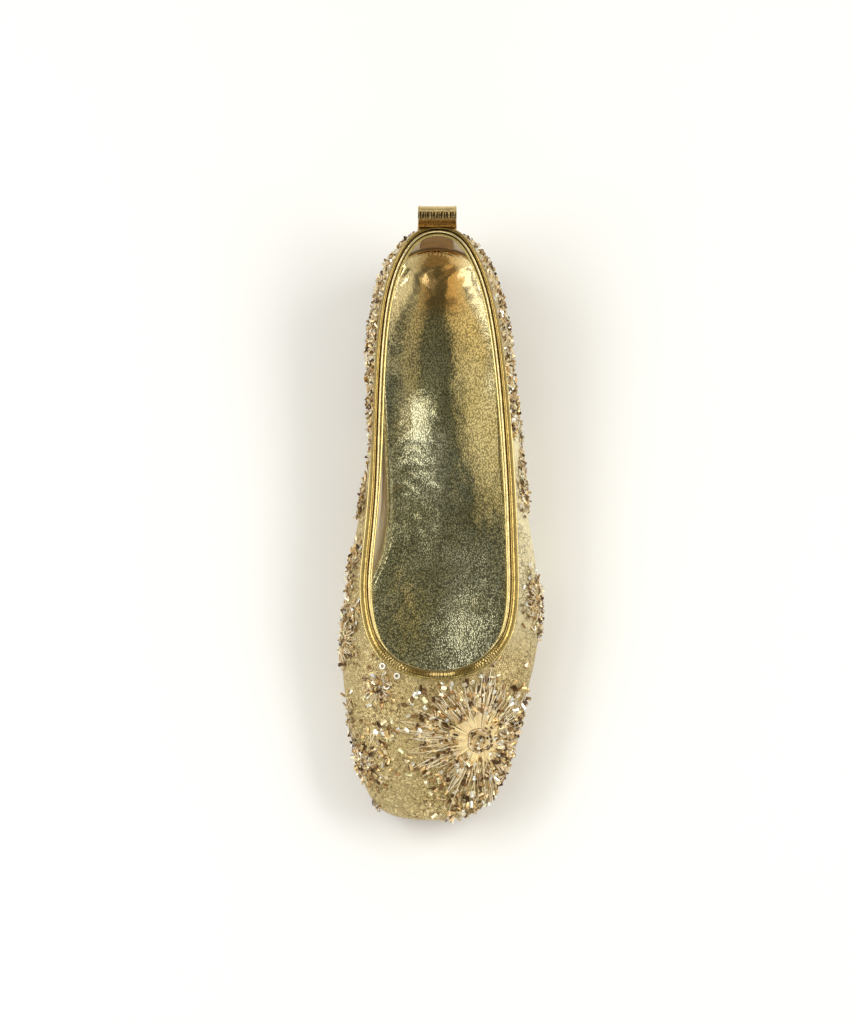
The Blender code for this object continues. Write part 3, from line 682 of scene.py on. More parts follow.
def packed_shift():
    """From the last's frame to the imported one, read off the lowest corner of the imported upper."""
    rows = upper_rows(np.arange(CAD_RIBS) / CAD_RIBS, CAD_BANDS).reshape(-1, 3)
    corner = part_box("upper")[0]
    return np.array([corner.x - rows[:, 0].min(), corner.y - rows[:, 1].min(), 0.0])


def linear(colour):
    """Scene-linear colour with alpha, from one of 0 to 255."""
    share = np.array(colour) / 255
    bright = np.where(share <= 0.04045, share / 12.92, ((share + 0.055) / 1.055) ** 2.4)
    return (*bright.tolist(), 1.0)


class Nodes:
    """Short calls that add nodes to a tree. A value is a number, a colour or another node's output."""

    def __init__(self, tree):
        self.tree = tree

    def feed(self, socket, value):
        if isinstance(value, bpy.types.NodeSocket):
            self.tree.links.new(value, socket)
        else:
            socket.default_value = value

    def node(self, kind, inputs, **settings):
        made = self.tree.nodes.new(kind)
        for name, value in settings.items():
            setattr(made, name, value)
        for key, value in inputs.items():
            self.feed(made.inputs[key], value)
        return made

    def part_of(self, vector, axis):
        return self.node("ShaderNodeSeparateXYZ", {0: vector}).outputs[axis]

    def math(self, operation, first, second=0.0):
        return self.node("ShaderNodeMath", {0: first, 1: second}, operation=operation).outputs[0]

    def times(self, first, second):
        return self.math("MULTIPLY", first, second)

    def span(self, value, low, high, to_low=0.0, to_high=1.0):
        """The value taken smoothly from one range to another, and held at its ends."""
        inputs = {"Value": value, 1: low, 2: high, 3: to_low, 4: to_high}
        return self.node("ShaderNodeMapRange", inputs, interpolation_type="SMOOTHSTEP").outputs[0]

    def mix(self, share, first, second, blend="MIX"):
        inputs = {0: share, 6: first, 7: second}
        return self.node("ShaderNodeMix", inputs, data_type="RGBA", blend_type=blend).outputs[2]


class Finish(Nodes):
    """One material: a Principled shader and the nodes that feed it."""

    def __init__(self, name, **constants):
        self.material = bpy.data.materials.new(name)
        self.material.use_nodes = True
        super().__init__(self.material.node_tree)
        self.shader = self.tree.nodes["Principled BSDF"]
        self.wear(**constants)

    def wear(self, **sockets):
        """Sets or joins the shader's sockets and gives the material."""
        for socket, value in sockets.items():
            self.feed(self.shader.inputs[socket.replace("_", " ").title()], value)
        return self.material

    def place(self):
        """Where a point of the surface is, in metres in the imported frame."""
        return self.node("ShaderNodeTexCoord", {}).outputs["Object"]

    def cloth_place(self):
        """Where a point lies on the cloth laid flat, in metres."""
        return self.node("ShaderNodeUVMap", {}, uv_map="cloth").outputs["UV"]

    def moved(self, place, offset, amount):
        """The place, pushed about by a colour or noise."""
        push = self.node("ShaderNodeVectorMath", {0: offset, 1: (amount,) * 3}, operation="MULTIPLY")
        return self.node("ShaderNodeVectorMath", {0: place, 1: push.outputs[0]}).outputs[0]

    def stretched(self, place, scale, turn=0.0):
        inputs = {"Vector": place, "Scale": scale, "Rotation": (0, 0, math.radians(turn))}
        return self.node("ShaderNodeMapping", inputs).outputs[0]

    def noise(self, place, size, detail=2.0, output="Fac"):
        inputs = {"Vector": place, "Scale": 1 / size, "Detail": detail}
        return self.node("ShaderNodeTexNoise", inputs).outputs[output]

    def patches(self, place, size, detail=2.0, low=0.0, high=1.0):
        """Soft patches of two values."""
        return self.span(self.noise(place, size, detail), *PATCH_EDGES, low, high)

    def cells(self, place, size, feature="F1", output="Distance"):
        inputs = {"Vector": place, "Scale": 1 / size}
        return self.node("ShaderNodeTexVoronoi", inputs, feature=feature).outputs[output]

    def threads(self, place, pitch, turn):
        """Ridge across each thread of a set of parallel ones."""
        along = self.part_of(self.stretched(place, (1, 1, 1), turn), 0)
        return self.math("ABSOLUTE", self.math("SINE", self.times(along, math.pi / pitch)))

    def pebbles(self, place, size):
        """Height of a pebbled leather grain, about 0 to 1."""
        wander = self.noise(place, size * 2.5, output="Color")
        place = self.moved(place, wander, size * 0.6)
        pebble = self.math("SUBTRACT", 1.0, self.cells(place, size))
        fine = self.noise(place, size * 0.45, 3)
        return self.math("ADD", self.times(pebble, 0.7), self.times(fine, 0.25))

    def bump(self, height, depth, under=None):
        inputs = {"Height": height, "Distance": depth, "Strength": 1.0}
        if under is not None:
            inputs["Normal"] = under
        return self.node("ShaderNodeBump", inputs).outputs[0]

    def between(self, first, second, share):
        return self.mix(share, linear(first), linear(second))

    def toned(self, colour, tone, share):
        """The colour with a share of a tone laid over it."""
        return self.mix(share, colour, linear(tone))

    def tinted(self, shade):
        """The tint that the mesh carries, made darker or lighter."""
        tint = self.node("ShaderNodeAttribute", {}, attribute_name="tint").outputs["Color"]
        return self.mix(1.0, tint, shade, "MULTIPLY")


def cloth_finish():
    """Gold net over a metallic cloth with dark specks and painted glints, paler round the heel, cream and
    crackled on the outer side, the cream partly a painted sheen.
    """
    finish = Finish("gold_net_cloth", coat_weight=0.08, coat_roughness=0.35)
    place = finish.place()
    aside, along = finish.part_of(place, 0), finish.part_of(place, 1)
    wander = finish.noise(place, CLOTH_WAVES, output="Color")
    flat = finish.moved(finish.cloth_place(), wander, NET_WANDER)

    def cracks(size, wave, edges):
        edge = finish.cells(finish.moved(place, wander, wave), size, "DISTANCE_TO_EDGE")
        return finish.span(edge, *edges, 1.0, 0.0)

    net = finish.math("MAXIMUM", *(finish.threads(flat, NET_PITCH, turn) for turn in NET_TURNS))
    net = finish.span(net, 0.60, 0.96)
    broad = finish.noise(place, 0.018, 3)
    lateral = finish.span(aside, *LATERAL_X)
    # The outer side: cream, partly the cloth's own tone and partly a painted sheen
    outer = finish.times(lateral, finish.span(along, *CLOTH_CREAM_AND_SHEEN_Y))
    heel = finish.span(along, *CLOTH_ROSE_Y)
    fine = finish.times(cracks(FINE_CRACK_SIZE, 0.002, (0.02, 0.12)), finish.span(broad, 0.4, 0.6))
    cracked = finish.times(lateral, finish.span(along, *CLOTH_CRACKED_Y))
    patchy = finish.times(cracked, finish.span(broad, 0.30, 0.50, 0.25, 1.0))
    crackle = finish.times(cracks(CRACKLE_SIZE, 0.009, (0.010, 0.06)), patchy)
    crackle = finish.times(crackle, 0.6)
    # Speck cells: dark specks of the cloth's own tone, and pale specks that are painted glints
    speck_and_glint = finish.part_of(finish.cells(place, SPECK_AND_GLINT_SIZE, output="Color"), 0)
    plain = finish.span(finish.math("MAXIMUM", outer, heel), 0.0, 1.0, 1.0, 0.15)
    plain = finish.times(plain, finish.span(broad, 0.36, 0.56, 0.45, 1.0))
    dark = finish.times(finish.span(speck_and_glint, 0.02, 0.34, 0.85, 0.0), plain)

    colour = finish.between(CLOTH_DEEP, CLOTH_GOLD, finish.span(broad, 0.32, 0.68))
    colour = finish.toned(colour, CLOTH_ROSE, finish.times(heel, 0.7))
    colour = finish.toned(colour, CLOTH_CREAM_AND_SHEEN, finish.times(outer, 0.95))
    # Pale net threads, then the pale specks, which are painted glints
    for pale in (finish.times(net, 0.6), finish.span(speck_and_glint, 0.68, 0.94, 0.0, 0.85)):
        colour = finish.toned(colour, CLOTH_PALE, pale)
    for line in (dark, finish.times(fine, 0.55), crackle):
        colour = finish.toned(colour, CLOTH_LINE, line)
    return finish.wear(
        base_color=colour,
        metallic=finish.span(outer, 0.0, 1.0, 0.45, 0.12),
        roughness=finish.patches(place, 0.003, 2, 0.34, 0.52),
        normal=finish.bump(finish.math("SUBTRACT", net, crackle), 0.00016),
    )


def lining_finish():
    """Fine plain-woven lining."""
    finish = Finish("rose_beige_lining", sheen_weight=0.15)
    flat = finish.cloth_place()
    weave = finish.times(finish.threads(flat, LINING_PITCH, 0), finish.threads(flat, LINING_PITCH, 90))
    colour = finish.between(LINING_ROSE, LINING_BEIGE, finish.patches(finish.place(), 0.012, 3))
    colour = finish.toned(colour, RING_WHITE, finish.times(weave, 0.25))
    roughness = finish.span(weave, 0.0, 1.0, 0.72, 0.55)
    return finish.wear(base_color=colour, roughness=roughness, normal=finish.bump(weave, 0.00006))


def insole_finish():
    """Metallic foil leather: a pebbled grain with painted shade in its valleys, coarser under the toes,
    warmer and smoother at the heel, with a painted brown reflection at the middle of the heel."""
    finish = Finish("gold_insole_foil", metallic=1.0)
    place = finish.place()
    aside, along = finish.math("ABSOLUTE", finish.part_of(place, 0)), finish.part_of(place, 1)
    grain = finish.pebbles(finish.stretched(place, (1, 0.60, 1)), INSOLE_GRAIN)
    coarse = finish.span(along, *FOIL_SMOOTH_Y, 1.0, 0.4)
    # Painted reflection: a brown patch at the middle of the heel
    middle = finish.times(finish.span(aside, *FOIL_REFLECTED_BROWN_X, 0.8, 0.0), finish.span(along, *FOIL_REFLECTED_BROWN_Y))
    # Painted shade in the grain's valleys, where the grain is coarse
    valley_shade = finish.times(finish.span(grain, 0.36, 0.62, 0.72, 0.0), coarse)
    colour = finish.between(FOIL_DEEP, FOIL_PALE, finish.patches(place, 0.02, 3))
    colour = finish.toned(colour, FOIL_WARM, finish.span(along, *FOIL_WARM_Y))
    colour = finish.toned(colour, FOIL_REFLECTED_BROWN, middle)
    colour = finish.toned(colour, FOIL_VALLEY_SHADE, valley_shade)
    gloss = finish.span(finish.noise(place, 0.009), *GLOSS_EDGES, 0.09, 0.14)
    relief = finish.times(finish.times(grain, coarse), finish.span(along, *FOIL_COARSE_Y, 1.8, 1.0))
    broad = finish.bump(finish.noise(place, 0.010), 0.00020)
    return finish.wear(base_color=colour, roughness=gloss, normal=finish.bump(relief, 0.000019, broad))


def binding_finish():
    """Gold foil leather of the binding and the loop, in the tint that its points carry."""
    finish = Finish("gold_binding_foil", metallic=1.0)
    place = finish.place()
    colour = finish.tinted(finish.patches(place, 0.005, 3, 0.84, 1.04))
    gloss = finish.span(finish.noise(place, 0.004), *GLOSS_EDGES, 0.15, 0.28)
    normal = finish.bump(finish.pebbles(place, BINDING_GRAIN), 0.00007)
    return finish.wear(base_color=colour, roughness=gloss, normal=normal)


def tape_finish():
    """Matte brown woven tape."""
    finish = Finish("brown_heel_tape", sheen_weight=0.2)
    place = finish.place()
    rib = finish.threads(place, TAPE_RIB_PITCH, 0)
    cloud = finish.patches(place, 0.004, 4)
    colour = finish.between(TAPE_DARK, TAPE_BROWN, cloud)
    colour = finish.toned(colour, LINING_ROSE, finish.times(rib, 0.07))
    roughness = finish.span(cloud, 0.0, 1.0, 0.72, 0.86)
    return finish.wear(base_color=colour, roughness=roughness, normal=finish.bump(rib, 0.00007))


def sole_finish():
    """Fibrous tan sole leather with a darker painted edge."""
    finish = Finish("tan_sole_leather")
    place = finish.place()
    down = finish.part_of(finish.node("ShaderNodeNewGeometry", {}).outputs["Normal"], 2)
    fibre = finish.noise(finish.stretched(place, (1, 0.12, 1)), 0.0012, 4)
    colour = finish.between(SOLE_DARK, SOLE_TAN, finish.span(fibre, *PATCH_EDGES))
    colour = finish.toned(colour, SOLE_EDGE, finish.span(down, -0.7, -0.3))
    roughness = finish.span(fibre, *PATCH_EDGES, 0.45, 0.65)
    normal = finish.bump(finish.pebbles(place, SOLE_GRAIN), 0.00008)
    return finish.wear(base_color=colour, roughness=roughness, normal=normal)


def chip_finish():
    """Cut sequin foil, each piece in its own tint."""
    finish = Finish("sequin_foil", metallic=0.6, coat_weight=0.2, coat_roughness=0.1)
    place = finish.place()
    colour = finish.tinted(finish.patches(place, 0.0008, 2, 0.8, 1.15))
    return finish.wear(base_color=colour, roughness=finish.patches(place, 0.002, 2, 0.18, 0.34))


def thread_finish():
    """Twisted embroidery silk."""
    finish = Finish("embroidery_silk", metallic=0.1, sheen_weight=0.35)
    twist = finish.noise(finish.place(), 0.0004)
    colour = finish.tinted(finish.span(twist, *PATCH_EDGES, 0.82, 1.08))
    roughness = finish.span(twist, *PATCH_EDGES, 0.38, 0.55)
    return finish.wear(base_color=colour, roughness=roughness, normal=finish.bump(twist, 0.00005))


def floor_finish():
    finish = Finish("studio_floor", roughness=0.7)
    cloud = finish.patches(finish.place(), 0.4, 2, 0.985, 1.0)
    return finish.wear(base_color=finish.mix(1.0, linear(FLOOR_WHITE), cloud, "MULTIPLY"))


def make_piece(
    name, finishes, points, faces, nodes=(), face_finish=None, uv=None, tints=None, smooth=None
):
    """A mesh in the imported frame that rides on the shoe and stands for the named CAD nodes."""
    mesh = bpy.data.meshes.new(name)
    mesh.from_pydata((np.asarray(points) + SHIFT).tolist(), [], [list(face) for face in faces])
    for finish in finishes:
        mesh.materials.append(finish)
    mesh.shade_smooth()
    if smooth is not None:
        mesh.polygons.foreach_set("use_smooth", smooth)
    if face_finish is not None:
        mesh.polygons.foreach_set("material_index", np.asarray(face_finish, np.int32))
    if uv is not None:
        corners = np.zeros(len(mesh.loops), np.int32)
        mesh.loops.foreach_get("vertex_index", corners)
        mesh.uv_layers.new(name="cloth").data.foreach_set("uv", uv[corners].astype(np.float32).ravel())
    if tints is not None:
        layer = mesh.color_attributes.new("tint", "FLOAT_COLOR", "POINT")
        layer.data.foreach_set("color", np.asarray(tints, np.float32).ravel())
    piece = bpy.data.objects.new(name, mesh)
    bpy.context.collection.objects.link(piece)
    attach(piece, "root")
    if nodes:
        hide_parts(*nodes)
    return piece


def strip_faces(first, second, count):
    """Faces between two closed loops, given by the numbers of their first points."""
    i = np.arange(count)
    after = (i + 1) % count
    return np.stack([first + i, second + i, second + after, first + after], 1)


def band_faces(rows, columns):
    """Faces of a ring-shaped body: rows of its section, each a closed loop of columns, the last row joined
    to the first."""
    strips = [strip_faces(row * columns, (row + 1) % rows * columns, columns) for row in range(rows)]
    return np.concatenate(strips)


def panel_body(front, back):
    """Points and faces of a thin closed panel between two grids of the same size."""
    rows, columns = front.shape[:2]
    points = np.concatenate([front.reshape(-1, 3), back.reshape(-1, 3)])
    index = np.arange(rows * columns).reshape(rows, columns)
    behind = index + rows * columns

    def quads(a, b, c, d):
        return np.stack([a.ravel(), b.ravel(), c.ravel(), d.ravel()], 1)

    faces = [
        quads(index[:-1, :-1], index[:-1, 1:], index[1:, 1:], index[1:, :-1]),
        quads(behind[:-1, :-1], behind[1:, :-1], behind[1:, 1:], behind[:-1, 1:]),
        quads(index[:-1, 0], index[1:, 0], behind[1:, 0], behind[:-1, 0]),
        quads(index[:-1, -1], behind[:-1, -1], behind[1:, -1], index[1:, -1]),
        quads(index[0, :-1], behind[0, :-1], behind[0, 1:], index[0, 1:]),
        quads(index[-1, :-1], index[-1, 1:], behind[-1, 1:], behind[-1, :-1]),
    ]
    return points, np.concatenate(faces)


def grid_normals(grid, closed):
    """Unit normals of a grid of points whose columns run clockwise seen from above as its rows climb."""
    if closed:
        around = np.roll(grid, -1, 1) - np.roll(grid, 1, 1)
    else:
        around = np.gradient(grid, axis=1)
    return unit(np.cross(np.gradient(grid, axis=0), around))


def sheet_rows(half, across, start):
    """Point numbers of a sheet inside a ring of 2 * half points, in rows from medial to lateral. The inner
    points are numbered from start on."""
    rows = [[0]]
    for station in range(1, half):
        inner = [start + (station - 1) * (across - 1) + c for c in range(across - 1)]
        rows.append([2 * half - station] + inner + [station])
    return rows + [[half]]


def sheet_faces(rows, across, upward):
    faces = []
    for near, far in zip(rows, rows[1:]):
        for c in range(across):
            corners = [near[min(c, len(near) - 1)], far[min(c, len(far) - 1)]]
            corners += [far[min(c + 1, len(far) - 1)], near[min(c + 1, len(near) - 1)]]
            corners = list(dict.fromkeys(corners))
            faces.append(corners if upward else corners[::-1])
    return faces


def slab_body(rings, top_height, bottom_height, across):
    """Points and faces of a closed flat body from edge rings, top one first. The heights take all inner
    points of a sheet at once."""
    count = len(rings[0])
    half = count // 2
    points = [np.array(ring) for ring in rings]
    faces = []
    for row in range(len(rings) - 1):
        faces += strip_faces((row + 1) * count, row * count, count).tolist()
    shares = np.arange(1, across)[None, :, None] / across
    for ring_number, height, upward in ((0, top_height, True), (len(rings) - 1, bottom_height, False)):
        ring = rings[ring_number]
        stations = np.arange(1, half)
        medial, lateral = ring[count - stations][:, None, :], ring[stations][:, None, :]
        inner = (medial + (lateral - medial) * shares).reshape(-1, 3)
        inner[:, 2] = height(inner)
        start = sum(len(group) for group in points)
        rows = sheet_rows(half, across, start)
        offset = ring_number * count
        rows = [[p if p >= start else p + offset for p in row] for row in rows]
        faces += sheet_faces(rows, across, upward)
        points.append(inner)
    return np.concatenate(points), faces


def both_sides(half_places):
    """Places round the whole ring from those of the lateral side, heel and toe included once."""
    return np.concatenate([half_places, 1 - half_places[-2:0:-1]])


def laid_flat(points, outward):
    """Flat place of wall points: seen from above, each one moved out by its depth below the back's height."""
    drop = (BACK_HEIGHT - points[:, 2])[:, None]
    return points[:, :2] + outward[:, :2] * drop


def make_upper(cloth, lining):
    """Shell with the net cloth outside and the lining inside, turned under at the sole."""
    t = np.arange(UPPER_COLUMNS) / UPPER_COLUMNS
    outer = upper_rows(t, UPPER_BANDS)
    inner = (outer - grid_normals(outer, True) * WALL)[::-1]
    rows = np.concatenate([outer, inner])
    outward = np.tile(ring_at(t).foot_out, (len(rows), 1))
    points = rows.reshape(-1, 3)
    faces = band_faces(len(rows), UPPER_COLUMNS)
    inside = np.arange(len(rows)) >= len(outer)
    make_piece(
        "upper_shell",
        (cloth, lining),
        points,
        faces,
        ("upper",),
        face_finish=np.repeat(inside, UPPER_COLUMNS),
        uv=laid_flat(points, outward),
    )


def make_outsole(finish):
    """Thin sole with a low heel: level under the heel and the forefoot, arched between, sprung at the toe."""
    breast = np.array([HEEL_BREAST * LENGTH, HEEL_BREAST * LENGTH + BREAST_SLOPE])
    dense = np.linspace(0, 0.5, FINE_PLACES)
    edges = np.interp(breast, -ring_at(dense).foot[:, 1], dense)
    half = np.linspace(0, 0.5, SOLE_STATIONS)
    half = half[np.abs(half - edges.mean()) > BREAST_CLEAR]
    ring = ring_at(both_sides(np.sort(np.concatenate([half, edges]))))

    def bottom(points):
        arched = feather_height(points[:, 1]) - GAP - SOLE_THICKNESS
        heel = smoothstep((breast[1] + points[:, 1]) / BREAST_SLOPE)
        return arched * (1 - heel)

    rings = []
    for inset, depth in SOLE_RINGS:
        points = on_feather_plane(ring.foot - ring.foot_out * inset) - UP * GAP
        points[:, 2] += (bottom(points) - points[:, 2]) * depth
        rings.append(points)

    def top(points):
        return feather_height(points[:, 1]) - GAP

    points, faces = slab_body(rings, top, bottom, SOLE_ACROSS)
    piece = make_piece("leather_sole", (finish,), points, faces, ("outsole",))
    piece.data.set_sharp_from_angle(angle=math.radians(SOLE_SHARP))


def insole_cup(y):
    """How far the edge of the insole turns up: most round the heel, least at the toes."""
    along = -np.asarray(y) / LENGTH
    back = smoothstep((TREAD_BACK - along) / (TREAD_BACK - SEAT_END))
    heel = smoothstep((SEAT_END - along) / SEAT_END)
    return FOREFOOT_CUP + (WAIST_CUP - FOREFOOT_CUP) * back + (HEEL_CUP - WAIST_CUP) * heel


def crease_height(points):
    """Soft troughs and ridges of the insole."""
    height = np.zeros(len(points))
    for crease in INSOLE_CREASES:
        turn = math.radians(crease.heading)
        x, y = points[:, 0] - crease.x, points[:, 1] - crease.y
        along = swung(x, y, turn) / crease.length
        across = swung(y, -x, turn) / crease.width
        height += crease.height * np.exp(-(along**2) - across**2)
    return height


def edge_distance(points, edge):
    """How far each point is from the nearest point of an edge ring, seen from above."""
    gaps = points[:, None, :2] - edge[None, :, :2]
    return np.sqrt((gaps**2).sum(2).min(1))


def half_width(y, edge):
    """Half the width of an edge ring at places along it."""
    half = len(edge) // 2
    lateral, medial = edge[: half + 1], np.append(edge[half:], edge[:1], 0)[::-1]
    return (np.interp(-y, -lateral[:, 1], lateral[:, 0]) - np.interp(-y, -medial[:, 1], medial[:, 0])) / 2


def make_insole(finish):
    """Padded sock on its board, cupped at the heel, its edge turned up against the wall."""
    ring = ring_at(both_sides(np.linspace(0, 0.5, INSOLE_STATIONS)))
    along = -ring.foot[:, 1] / LENGTH
    waist = (WAIST_INSET * plateau(along, *WAIST_SPAN) * (ring.foot[:, 0] < 0))[:, None]
    spread = HEEL_SPREAD * smoothstep(1 - along / HEEL_SPREAD_END)[:, None]
    board = -(WALL + GAP)
    under = LASTING_MARGIN + 2 * GAP

    def base(y):
        return feather_height(y) + WALL + GAP

    def low_ring(inset, rise):
        points = ring.foot - ring.foot_out * (inset + waist)
        points[:, 2] = base(points[:, 1]) + rise
        return points

    def high_ring(inset, drop):
        points = ring.foot - ring.foot_out * (inset + waist - spread)
        y = points[:, 1]
        points[:, 2] = base(y) + INSOLE_THICKNESS + insole_cup(y) - drop
        return points

    rings = [
        high_ring(INSOLE_INSET + INSOLE_BEVEL, 0.0),
        high_ring(INSOLE_INSET + INSOLE_ROUND, INSOLE_ROUND),
        high_ring(INSOLE_INSET, INSOLE_BEVEL),
        low_ring(INSOLE_INSET, INSOLE_BEVEL),
        low_ring(INSOLE_INSET + INSOLE_BEVEL, 0.0),
        low_ring(under, 0.0),
        low_ring(under, board),
    ]

    def top_height(points):
        y = points[:, 1]
        reach = np.minimum(CUP_REACH, half_width(y, rings[0]))
        near = np.clip(1 - edge_distance(points, rings[0]) / reach, 0, 1)
        return base(y) + INSOLE_THICKNESS + insole_cup(y) * near**2 + crease_height(points)

    def bottom_height(points):
        return base(points[:, 1]) + board

    points, faces = slab_body(rings, top_height, bottom_height, INSOLE_ACROSS)
    piece = make_piece("foil_insole", (finish,), points, faces, ("insole",))
    piece.data.set_sharp_from_angle(angle=math.radians(INSOLE_SHARP))


def topline_frame(places):
    """Middle of the wall's cut edge, with the directions out of the wall and off its edge."""
    ones = np.ones(len(places))
    edge = wall(places, ones)
    out = wall_normal(places, ones)
    off = unit(edge - wall(places, ones - EDGE_STEP))
    return edge - out * WALL / 2, out, off


def throat_share(places):
    """1 in the middle of the throat, 0 outside it."""
    start, end = THROAT
    return plateau(places, start, start + THROAT_FADE, end - THROAT_FADE, end)


def ruche(places, middle):
    """Small gathers of the leather round the throat's curve, from -1 to 1 at each place."""
    steps = np.linalg.norm(np.diff(middle, axis=0, append=middle[:1]), axis=1)
    walked = np.concatenate([[0], np.cumsum(steps)[:-1]])
    wave = np.sin(walked * 2 * math.pi / RUCHE_PITCH + waves(walked, RUCHE_DRIFT))
    uneven = 0.5 + waves(walked, RUCHE_SWELL)
    return wave * uneven * throat_share(places)


def cut_corners(near, far):
    """Two places for each side of a line, a quarter of it from its ends."""
    return np.stack([near * 0.75 + far * 0.25, near * 0.25 + far * 0.75], 1).reshape(-1, *near.shape[1:])


def rounded_ring(rows):
    """Rows round a closed section with their corners cut once."""
    return cut_corners(rows, np.roll(rows, -1, 0))


def rounded(path, rounds):
    """The path with its corners cut, again and again, so that it runs smoothly."""
    for _ in range(rounds):
        path = np.concatenate([path[:1], cut_corners(path[:-1], path[1:]), path[-1:]])
    return path


def binding_tints(corners, throat, gathers):
    """Tint of each corner of the section at each place: painted highlight on the ridge and the lips, painted
    shade in the grooves, and on the roll at the throat painted highlight on the gathers and painted shade
    between them."""
    deep, pale, lip, line = (np.array(linear(tint)) for tint in BINDING_COLOURS)
    tints = np.tile(deep, (corners, 1, 1))
    # Painted highlight on the ridge and the lips, painted shade in the grooves
    tints[BINDING_RIDGE] = pale
    for part in BINDING_LIPS:
        tints[part] = lip
    for groove in BINDING_GROOVES:
        tints[groove] = line
    # At the throat: painted highlight on the gathers' crests, painted shade between them
    tints = tints + (pale - tints) * RUCHE_SHINE * np.clip(gathers, 0, 1)
    return tints + (line - tints) * throat * RUCHE_SHADE * (1 - gathers)


def make_binding(finish):
    """Leather roll sewn over the topline, gathered round the throat."""
    even = np.arange(BINDING_COLUMNS) / BINDING_COLUMNS
    places = np.unique(np.concatenate([even, np.linspace(*THROAT, THROAT_COLUMNS)]))
    middle, out, off = topline_frame(places)
    throat = throat_share(places)[None, :, None]
    section = BINDING_SIDE[:, None, :] * (1 - throat) + BINDING_THROAT[:, None, :] * throat
    gathered = np.zeros((len(section), 1, 1))
    gathered[BINDING_GATHERED] = 1
    gathers = gathered * ruche(places, middle)[None, :, None]
    tints = rounded_ring(binding_tints(len(section), gathered * throat, gathers))
    section = rounded_ring(section + unit(section) * RUCHE_DEPTH * gathers)
    slot, low = WALL / 2 + GAP, -BINDING_FLANGE
    channel = np.array([(-slot, low), (-slot, GAP), (slot, GAP), (slot, low)])
    section = np.concatenate([section, np.repeat(channel[:, None, :], len(places), 1)])
    rings = middle + out * section[:, :, :1] + off * section[:, :, 1:]
    tints = np.concatenate([tints, tints[-len(channel) :]])
    make_piece(
        "topline_roll",
        (finish,),
        rings.reshape(-1, 3),
        band_faces(len(rings), len(places)),
        ("topline_binding",),
        tints=tints.reshape(-1, 4),
    )


def seam_line(level, reach):
    """Places up to a reach on both sides of the back seam, and the wall's points there at one level."""
    places = np.linspace(-reach, reach, SEAM_PLACES)
    return places, wall(places, np.full(len(places), level))


def heel_rounding(x):
    """How far the back of the heel curves away to the toe at a distance x from its seam."""
    line = seam_line(LOOP_TAIL[1], LOOP_REACH)[1]
    return np.interp(0.0, line[:, 0], line[:, 1]) - np.interp(x, line[:, 0], line[:, 1])


def loop_path():
    """Middle line of the strap in the plane of the back seam: up the heel, round the fold, down to the
    binding. Each point is (y, z, share of the heel's rounding that the strap follows there)."""
    middle, out, off = (vectors[0] for vectors in topline_frame(np.zeros(1)))
    clear = GAP + STRAP_LEATHER / 2
    beside = middle + out * (WALL / 2 + GAP + BINDING_LEATHER + clear) - off * BINDING_FLANGE
    top = middle + off * (GAP + BINDING_ROLL)
    front = top[1] + LOOP_DEPTH / 2 + clear
    back = front + LOOP_DEPTH
    shares = np.linspace(*LOOP_TAIL, LOOP_TAIL_STEPS)
    seam = np.zeros(LOOP_TAIL_STEPS)
    tail = wall(seam, shares) + wall_normal(seam, shares) * clear
    sewn, low, middle_way, neck = LOOP_HUGS
    path = [(y, z, sewn) for _, y, z in tail]
    path.append((beside[1], beside[2], low))
    path.append((beside[1] + LOOP_LEAN * (back - beside[1]), (beside[2] + top[2]) / 2, middle_way))
    path.append((back, top[2] + LOOP_NECK, neck))
    fold = top[2] + LOOP_RISE - LOOP_DEPTH / 2
    for turn in np.linspace(0, math.pi, LOOP_STEPS):
        y = (front + back) / 2 + LOOP_DEPTH / 2 * math.cos(turn)
        path.append((y, fold + LOOP_DEPTH / 2 * math.sin(turn), 0.0))
    path.append((front, top[2] + LOOP_NECK, 0.0))
    path.append((front - LOOP_TUCK, top[2] + clear, 0.0))
    return np.array(path)


def fold_share(path):
    """1 on the wrinkled part of the strap that goes over the fold, 0 elsewhere."""
    y, z = path[:, 0], path[:, 1]
    aside = (y - y[z.argmax()]) / (LOOP_DEPTH / 2)
    return smoothstep((z - z.max() + LOOP_DEPTH / 2) / LOOP_FOLD_FADE) * plateau(aside, *LOOP_FOLD)


def front_share(path):
    """1 on the strap's front leg, below the fold, 0 elsewhere."""
    z = path[:, 1]
    after = np.arange(len(path)) > z.argmax()
    return after * smoothstep((z.max() - z - LOOP_DEPTH / 2) / LOOP_LEG_FADE)


